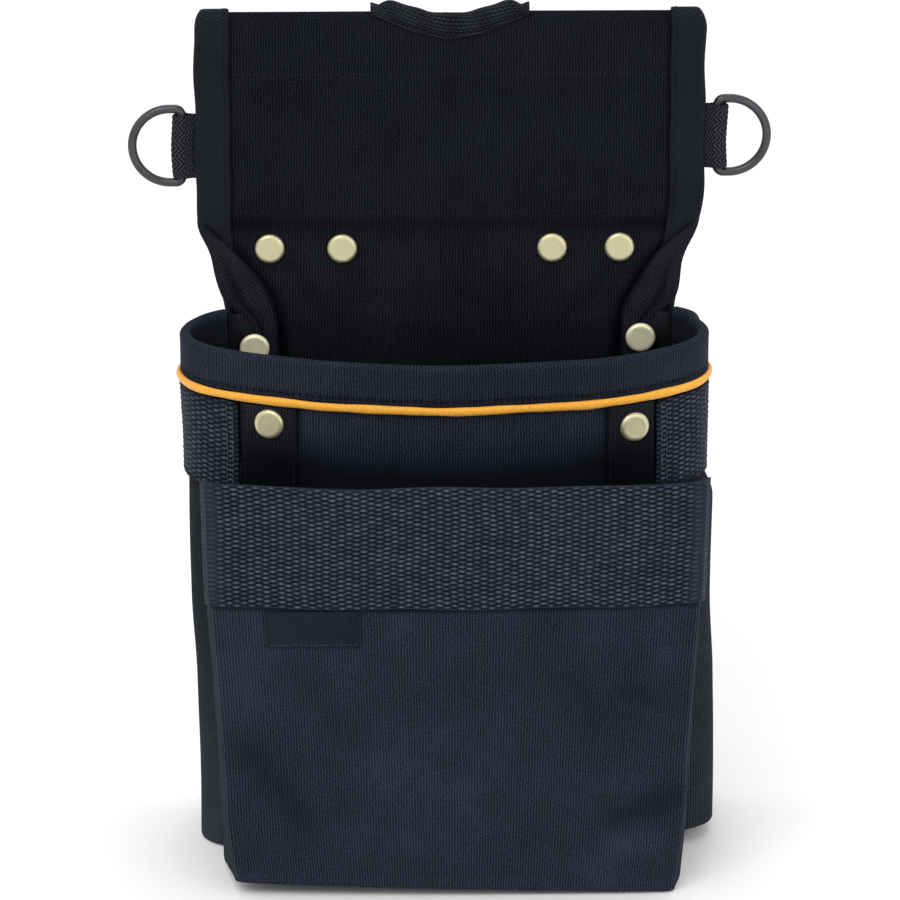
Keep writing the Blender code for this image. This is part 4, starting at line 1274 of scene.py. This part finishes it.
# Painted shade on the cord's top, bottom and inner side, darkest where it turns in towards the wall.
painted_cord_shade = np.tile(smooth((0.45 - np.cos(around)) / 0.75), (len(along), 1))
loft("main_piping_cord", cord_sections(line, up, fat, PIPING_FLAT), PIPING_CLOTH, "piping_orange",
     ["main_piping"], deep=painted_cord_shade)


# Side patches of webbing.
PATCH_OUT = CANVAS / 2 + LAYER_GAP + WEBBING / 2
PATCH_TALL = PATCH_BOTTOM + 36.0
PATCH_SEAMS = (2.2, 4.6)


def patch(s, b):
    return up_to_piping(s, b, PATCH_BOTTOM, PATCH_TALL, PATCH_OUT)


for side, word in SIDES:
    near, far = side * s_of(2.95), side * s_of(6.5)
    ends = sorted((near, far))

    def patch_relief(s, b, near=near):
        sewn = np.minimum(*(np.abs(np.abs(s - near) - inset) for inset in PATCH_SEAMS))
        return (0.36 * floats(s, b) - 0.2 - 0.25 * bump(sewn, 0.6)
                - 0.2 * bump(b - PATCH_BOTTOM - 2.0, 0.6))

    # Painted shade at the patch's foot, along its near edge and under the piping.
    def patch_dark(s, b, near=near):
        return np.clip(0.85 * smooth((PATCH_BOTTOM + 2.2 - b) / 2.0)
                       + 0.60 * bump(np.abs(s - near), 1.6)
                       + 0.55 * smooth((b - PATCH_TALL + 2.4) / 2.0), 0.0, 1.0)

    shell("side_webbing_patch_" + word, patch, marks(*ends, 0.42, 0.6),
          marks(PATCH_BOTTOM, PATCH_TALL, 0.2, 0.6), WEBBING, WEBBING_CLOTH, "webbing_navy",
          ["side_webbing_" + word], relief=patch_relief, lift=floats, deep=patch_dark)
    heights = np.linspace(PATCH_BOTTOM + 1.0, PATCH_TALL - 1.0, 90)
    rows = [place(patch, near + side * inset, heights, WEBBING / 2 - 0.15) for inset in PATCH_SEAMS]
    sew("side_webbing_stitches_" + word, rows, BRIGHT_THREAD, pitch=2.3, length=1.7, radius=0.24)
    run = np.linspace(*ends, 150)
    sew("side_webbing_foot_stitches_" + word,
        [place(patch, run, PATCH_BOTTOM + 2.0, WEBBING / 2 - 0.2)], DARK_THREAD)

FLOOR_RUN = 50.0


def floor_shell(name, front_edge, rear_edge, node):
    """A pocket's bottom: cloth stretched from the rear line to the outline in front."""
    def surface(a, b):
        share = b / FLOOR_RUN
        spot = rear_edge(a) * (1.0 - share)[..., None] + front_edge(a) * share[..., None]
        sag = 0.35 * np.sin(np.pi * share) * np.cos(a * 1.4)
        return stack(spot[..., 0], spot[..., 1], CANVAS / 2 + 0.05 + sag)
    shell(name, surface, np.linspace(-1.0, 1.0, 181), marks(0.0, FLOOR_RUN, 1.5, 0.6), CANVAS, NAVY,
          "canvas_navy", [node], uv=lambda a, b: (a * 100.0, b), scale=90.0, step=(0.002, 0.2))


floor_shell("main_bottom_cloth",
            lambda a: wall_u(a * 7.0, 0.0, -CANVAS / 2 - GAP)[..., :2],
            lambda a: stack(a * 93.0, PANEL_CLOTH + 2 * GAP + BOARD + CANVAS), "main_bottom")
floor_shell("front_pocket_bottom_cloth",
            lambda a: pocket((a * 0.5 + 0.5) * POCKET_LENGTH, 0.0, -CANVAS / 2 - 0.8)[..., :2],
            lambda a: wall_u(a * 3.2, 0.0, CANVAS / 2 + 0.5)[..., :2], "front_pocket_bottom")


# ---------------------------------------------------------------- tape from the waist into the pocket

WAIST_FOLD = 0.36


def waist_sections(side):
    """Level slices of the tape: thick and rolled over at its inner edge, thin at its outer one."""
    z = np.concatenate([np.linspace(245.6, 190.0, 130), np.linspace(188.0, 8.0, 90)])[:, None]
    turn = np.linspace(0.0, math.tau, 72, endpoint=False)
    if side > 0:
        shift = 1.1 * smooth((z - 190.0) / 20.0) * smooth((243.0 - z) / 8.0)
    else:
        shift = 1.6 * bump(z - 220.0, 7.0)
    inner, outer, thick = waist_inner(z) - shift, waist_outer(z), waist_thick(z)
    cosine, sine = np.cos(turn), np.sin(turn)
    across = -np.sign(cosine) * np.abs(cosine) ** 0.8  # -1 at the inner edge, 1 at the outer one
    x = (inner + outer) / 2 + (outer - inner) / 2 * across
    swell = np.sign(sine) * np.abs(sine) ** 0.7
    toward = (1.0 - across) / 2.0
    face = waist_off(z) * (0.50 + 0.50 * toward) - 0.28 * thick
    front = np.clip(sine, 0.0, 1.0) ** 0.5
    cord = 0.10 * np.sin((x - inner) / 1.2 * math.tau)
    fold = 0.55 * bump(toward - WAIST_FOLD, 0.10) * smooth((238.0 - z) / 10.0)
    wave = 0.18 * np.sin(z / 3.1 + 5.0 * toward) + 0.12 * np.sin(z / 1.7 - 4.0 * toward)
    y = -face - thick * (0.42 + 0.58 * toward) / 2 * swell - (cord + wave - fold) * front
    y = y + 0.6 * smooth((z - 233.0) / 10.0)
    # Painted shade, kept as the tape's "deep" tone: in the fold's valley, over the rolled inner edge
    # and lower down into the pocket.
    valley = bump(toward - WAIST_FOLD, 0.09) * smooth((232.0 - z) / 12.0)
    rolled = smooth((toward - 0.86) / 0.12)
    dark = np.clip(0.65 * valley + 0.80 * rolled + 0.35 * smooth((204.0 - z) / 10.0), 0.0, 0.95)
    run = run_along(np.hstack([z, inner]))[:, None]
    return settle(stack(side * x, y, z)), stack(x - inner, run), dark


for side, word in SIDES:
    points, flat, dark = waist_sections(side)
    loft("waist_tape_" + word, points, RIBBED_CLOTH, "tape_black", ["back_seam_tape_" + word],
         uv=flat, deep=dark)


# ---------------------------------------------------------------- front pocket

# Streaks of painted shade on the front pocket's face, as (x, z, end x, end z, width, depth) rows; a
# depth below 0 paints light.
FACE_DENT_SHADES = [(92, 42, 58, 28, 6.0, 0.34), (90, 76, 60, 84, 5.0, 0.20),
              (-84, 60, -56, 22, 7.0, 0.22), (-66, 96, -40, 60, 9.0, 0.16),
              (28, 100, 62, 66, 11.0, 0.14), (78, 26, 52, 8, 8.0, -0.18),
              (-30, 60, 10, 40, 14.0, -0.10)]
FACE_TALL = 167.2


def from_crease(s):
    """Distance from the nearer of the two folded edges."""
    return np.minimum(np.abs(s - CREASE_LEFT), np.abs(s - CREASE_RIGHT))


def face_relief(s, z):
    return 0.35 * bump(from_crease(s), 1.4) + 0.12 * ripple(s, z, 6.0, 11.0)


def face_dark(s, b):
    """Painted shade under the webbing band and in streaks over the face, which paint light where their
    depth is below 0; paler at the hem; and a painted highlight along the two folded edges.
    """
    dent_shade = creases(pocket(s, 60.0)[..., 0], b, FACE_DENT_SHADES)
    hem = 0.16 * smooth((7.0 - b) / 3.0)
    return (0.75 * smooth((b - 114.6) / 2.6) + 1.45 * dent_shade - hem
            - 1.1 * bump(from_crease(s), 0.55))


def pocket_wall(s, b, out=0.0):
    top = mouth_height(pocket(s, 140.0)[..., 0]) - 0.8
    return pocket(s, sloped(s, HEM + (top - HEM) * (b - HEM) / (FACE_TALL - HEM)), out)


shell("front_pocket_cloth", pocket_wall, marks(CREASE_LEFT - 1.6, CREASE_RIGHT + 1.6, 0.9, 0.5),
      marks(HEM, FACE_TALL, 0.9, 0.5), CANVAS, NAVY, "canvas_navy", ["front_pocket_panel"],
      relief=face_relief, deep=face_dark)
for word, ends in (("left", (0.0, CREASE_LEFT + 0.6)),
                   ("right", (CREASE_RIGHT - 0.6, POCKET_LENGTH))):
    shell("front_pocket_side_" + word, lambda s, b: pocket_wall(s, b, -0.5), marks(*ends, 1.0, 0.5),
          marks(HEM, FACE_TALL, 1.2, 0.5), 1.0, GUSSET_PAINTED_SHEEN_CLOTH, "canvas_navy",
          relief=lambda s, b: 0.5 * ripple(s, b, 8.0, 14.0))

BAND_OUT = CANVAS / 2 + GAP + WEBBING / 2
BAND_START = CREASE_LEFT - 2.4
BAND_END = CREASE_RIGHT + 2.4
BAND_TALL = 51.5


def band(s, b):
    x = pocket(s, 140.0)[..., 0]
    foot = band_foot(x) + 0.35 * np.sin(s / 9.0)
    wave = 0.55 * np.sin(s / 21.0 + 0.6) + 0.35 * np.sin(s / 9.7)
    top = mouth_height(x) + wave
    return pocket(s, sloped(s, foot + (top - foot) * b / BAND_TALL), BAND_OUT)


def band_floats(s, b):
    corner = from_crease(s)
    calm = 0.7 * bump(np.maximum(corner - 2.0, 0.0), 2.6)
    edge = smooth(np.minimum(b, BAND_TALL - b) / 0.9)
    woven = floats(s, b) * (1.0 - calm) + 0.17 * calm
    # The thin line along the folded edges is a painted highlight.
    return woven * edge + 0.22 * bump(corner, 0.35) + 0.17 * (1.0 - edge)


def band_relief(s, b):
    fold = 0.25 * bump(from_crease(s), 1.2)
    return 0.40 * band_floats(s, b) - 0.25 + fold + 0.25 * ripple(s, b, 13.0, 12.0)


shell("front_pocket_band", band, marks(BAND_START, BAND_END, 0.36, 0.6),
      marks(0.0, BAND_TALL, 0.18, 0.6), WEBBING, WEBBING_CLOTH, "webbing_navy",
      ["front_pocket_webbing"], relief=band_relief, lift=band_floats)
run = np.linspace(CREASE_LEFT, CREASE_RIGHT, 500)
sew("band_stitches", [place(band, run, 1.7, WEBBING / 2 - 0.25)], DARK_THREAD)

# The tag under the band's foot, plain but for its stitches.
TAG_LOW_CORNER, TAG_HIGH_CORNER = box_corners("woven_tag")
TAG_LEFT, TAG_LOW = TAG_LOW_CORNER[0], TAG_LOW_CORNER[2] + 0.2
TAG_WIDE, TAG_TALL = TAG_HIGH_CORNER[0] - TAG_LEFT, TAG_HIGH_CORNER[2] - TAG_LOW
TAG_OUT = CANVAS / 2 + GAP + 0.45
TAG_SEAM = 1.2
TAG_LEAN = 0.021
FACE_S = np.linspace(CREASE_LEFT, CREASE_RIGHT, 900)
FACE_X = pocket(FACE_S, 110.0)[:, 0]


def tag(a, b):
    s = np.interp(TAG_LEFT + a, FACE_X, FACE_S)
    return pocket(s, TAG_LOW + b + TAG_LEAN * (a - 18.0), TAG_OUT)


def tag_relief(a, b):
    edge = np.minimum(np.minimum(a, TAG_WIDE - a), b)
    return -0.14 * bump(edge - 1.3, 0.4) + 0.1 * ripple(a, b, 5.0, 13.0)


shell("plain_tag", tag, marks(0.0, TAG_WIDE, 0.4, 0.3), marks(0.0, TAG_TALL, 0.4, 0.3), 0.6,
      TAG_CLOTH, "tag_dark", ["woven_tag"], relief=tag_relief)
up = np.linspace(TAG_SEAM, TAG_TALL - 0.6, 60)
sew("tag_stitches", [place(tag, a, up, 0.22) for a in (TAG_SEAM, TAG_WIDE - TAG_SEAM)],
    DARK_THREAD, pitch=1.9, length=1.3, radius=0.13)
run = np.linspace(TAG_SEAM, TAG_WIDE - TAG_SEAM, 120)
sew("tag_foot_stitches", [place(tag, run, TAG_SEAM, 0.22)], BRIGHT_THREAD, pitch=1.9, length=1.2,
    radius=0.12)


# ---------------------------------------------------------------- rivets

def rivet(label, centre, facing, grip, brass=BRASS):
    """A cap on the cloth's face and its post behind, grip millimetres of layers apart."""
    deep = -grip - 0.2
    cap = rounded([(0.0, 1.75), (3.0, 1.75), (4.2, 1.85), (5.1, 1.75), (5.75, 1.15), (5.95, 0.5),
                   (5.7, 0.05), (4.6, 0.0), (1.7, 0.1), (1.7, deep + 0.6), (0.0, deep + 0.6)])
    post = rounded([(0.0, deep + 0.2), (2.2, deep + 0.2), (5.1, deep), (5.4, deep - 0.4),
                    (5.2, deep - 0.9), (4.4, deep - 1.15), (2.2, deep - 1.2), (1.6, deep - 0.9),
                    (0.0, deep - 0.85)])
    lathe("rivet_cap_turned_" + label, centre, facing, cap, brass, "rivet_brass",
          ["rivet_cap_" + label])
    lathe("rivet_post_turned_" + label, centre, facing, post, BRASS, "rivet_brass",
          ["rivet_post_" + label])


FORWARD = np.array([0.0, -1.0, 0.0])
PANEL_GRIP = 2 * PANEL_CLOTH + 2.9
for k, (x, z) in enumerate(TOP_RIVETS, 1):
    rivet("top_%d" % k, settle(stack(x, 0.0, z)), FORWARD, PANEL_GRIP)
TAPE_FACE = RIM[0][1] - CANVAS / 2 - LAYER_GAP - SEAM_TAPE
INNER_GRIP = PANEL_CLOTH + BOARD + CANVAS + 2 * GAP - TAPE_FACE
OUTER_GRIP = CANVAS + LAYER_GAP + SEAM_TAPE
OUTER_U = {"left": -2.41, "right": 2.48}
for _, word in SIDES:
    x, _, z = box_middle("rivet_cap_inner_" + word)
    # The inner caps take the paler brass, which is painted light.
    rivet("inner_" + word, settle(stack(x, TAPE_FACE - 0.5, z)), FORWARD, INNER_GRIP, PAINTED_LIGHT_BRASS)
    z = box_middle("rivet_cap_outer_" + word)[2]
    on, out, face = (wall_u(OUTER_U[word], z, off)
                     for off in (CANVAS / 2 + LAYER_GAP + SEAM_TAPE + 0.15, 1.0, 0.0))
    rivet("outer_" + word, settle(on), out - face, OUTER_GRIP)


# ---------------------------------------------------------------- stage

def link(name, data, location, rotation=(0.0, 0.0, 0.0)):
    thing = bpy.data.objects.new(name, data)
    thing.location = location
    thing.rotation_euler = rotation
    bpy.context.scene.collection.objects.link(thing)
    return thing


def soft_light(name, location, aim_z, size, power):
    lamp = bpy.data.lights.new(name, "AREA")
    lamp.shape = "RECTANGLE"
    lamp.size, lamp.size_y = size
    lamp.energy = power
    away = Vector((0.0, 0.0, aim_z)) - Vector(location)
    link(name, lamp, location, away.to_track_quat("-Z", "Y").to_euler())


FLOOR_HALF = 6.0
FLOOR_GAP = 0.0002
bpy.context.view_layer.update()
floor_mesh = bpy.data.meshes.new("studio_floor")
floor_mesh.from_pydata([(x * FLOOR_HALF, y * FLOOR_HALF, 0)
                        for x, y in ((-1, -1), (1, -1), (1, 1), (-1, 1))], [], [(0, 1, 2, 3)])
paper = Look("studio_paper", 0.9, specular=0.1)
paper.shader.inputs["Base Color"].default_value = (0.92, 0.92, 0.92, 1.0)
floor_mesh.materials.append(paper.material)
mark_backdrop(link("studio_floor", floor_mesh, (0.0, 0.0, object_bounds()[0].z - FLOOR_GAP)))

soft_light("key_light", (-0.65, -1.5, 1.35), -0.12, (1.2, 1.0), 20.0)
soft_light("fill_light", (1.1, -1.6, 0.5), -0.12, (1.3, 1.3), 10.0)
soft_light("top_light", (0.0, 0.3, 1.9), -0.1, (1.8, 1.4), 11.0)
soft_light("rear_light", (0.3, 1.8, 1.0), -0.1, (1.6, 1.0), 9.0)
for side in (-1, 1):
    soft_light("side_light", (2.0 * side, 0.4, 0.8), -0.1, (1.2, 1.2), 7.0)

world = bpy.data.worlds.new("studio")
world.use_nodes = True
world.node_tree.nodes["Background"].inputs["Color"].default_value = (1.0, 1.0, 1.0, 1.0)
world.node_tree.nodes["Background"].inputs["Strength"].default_value = 0.62
bpy.context.scene.world = world
bpy.context.scene.view_settings.view_transform = "Standard"

DISTANCE = 2.05
ELEVATION = math.radians(18.0)
AZIMUTH = math.radians(-1.2)
TARGET = Vector((0.0, -0.0075, -0.1266))
back = Vector((math.sin(AZIMUTH) * math.cos(ELEVATION), -math.cos(AZIMUTH) * math.cos(ELEVATION),
               math.sin(ELEVATION)))
lens = bpy.data.cameras.new("camera")
lens.sensor_width = 36.0
lens.lens = 205.0
bpy.context.scene.camera = link("camera", lens, TARGET + back * DISTANCE,
                                (-back).to_track_quat("-Z", "Y").to_euler())
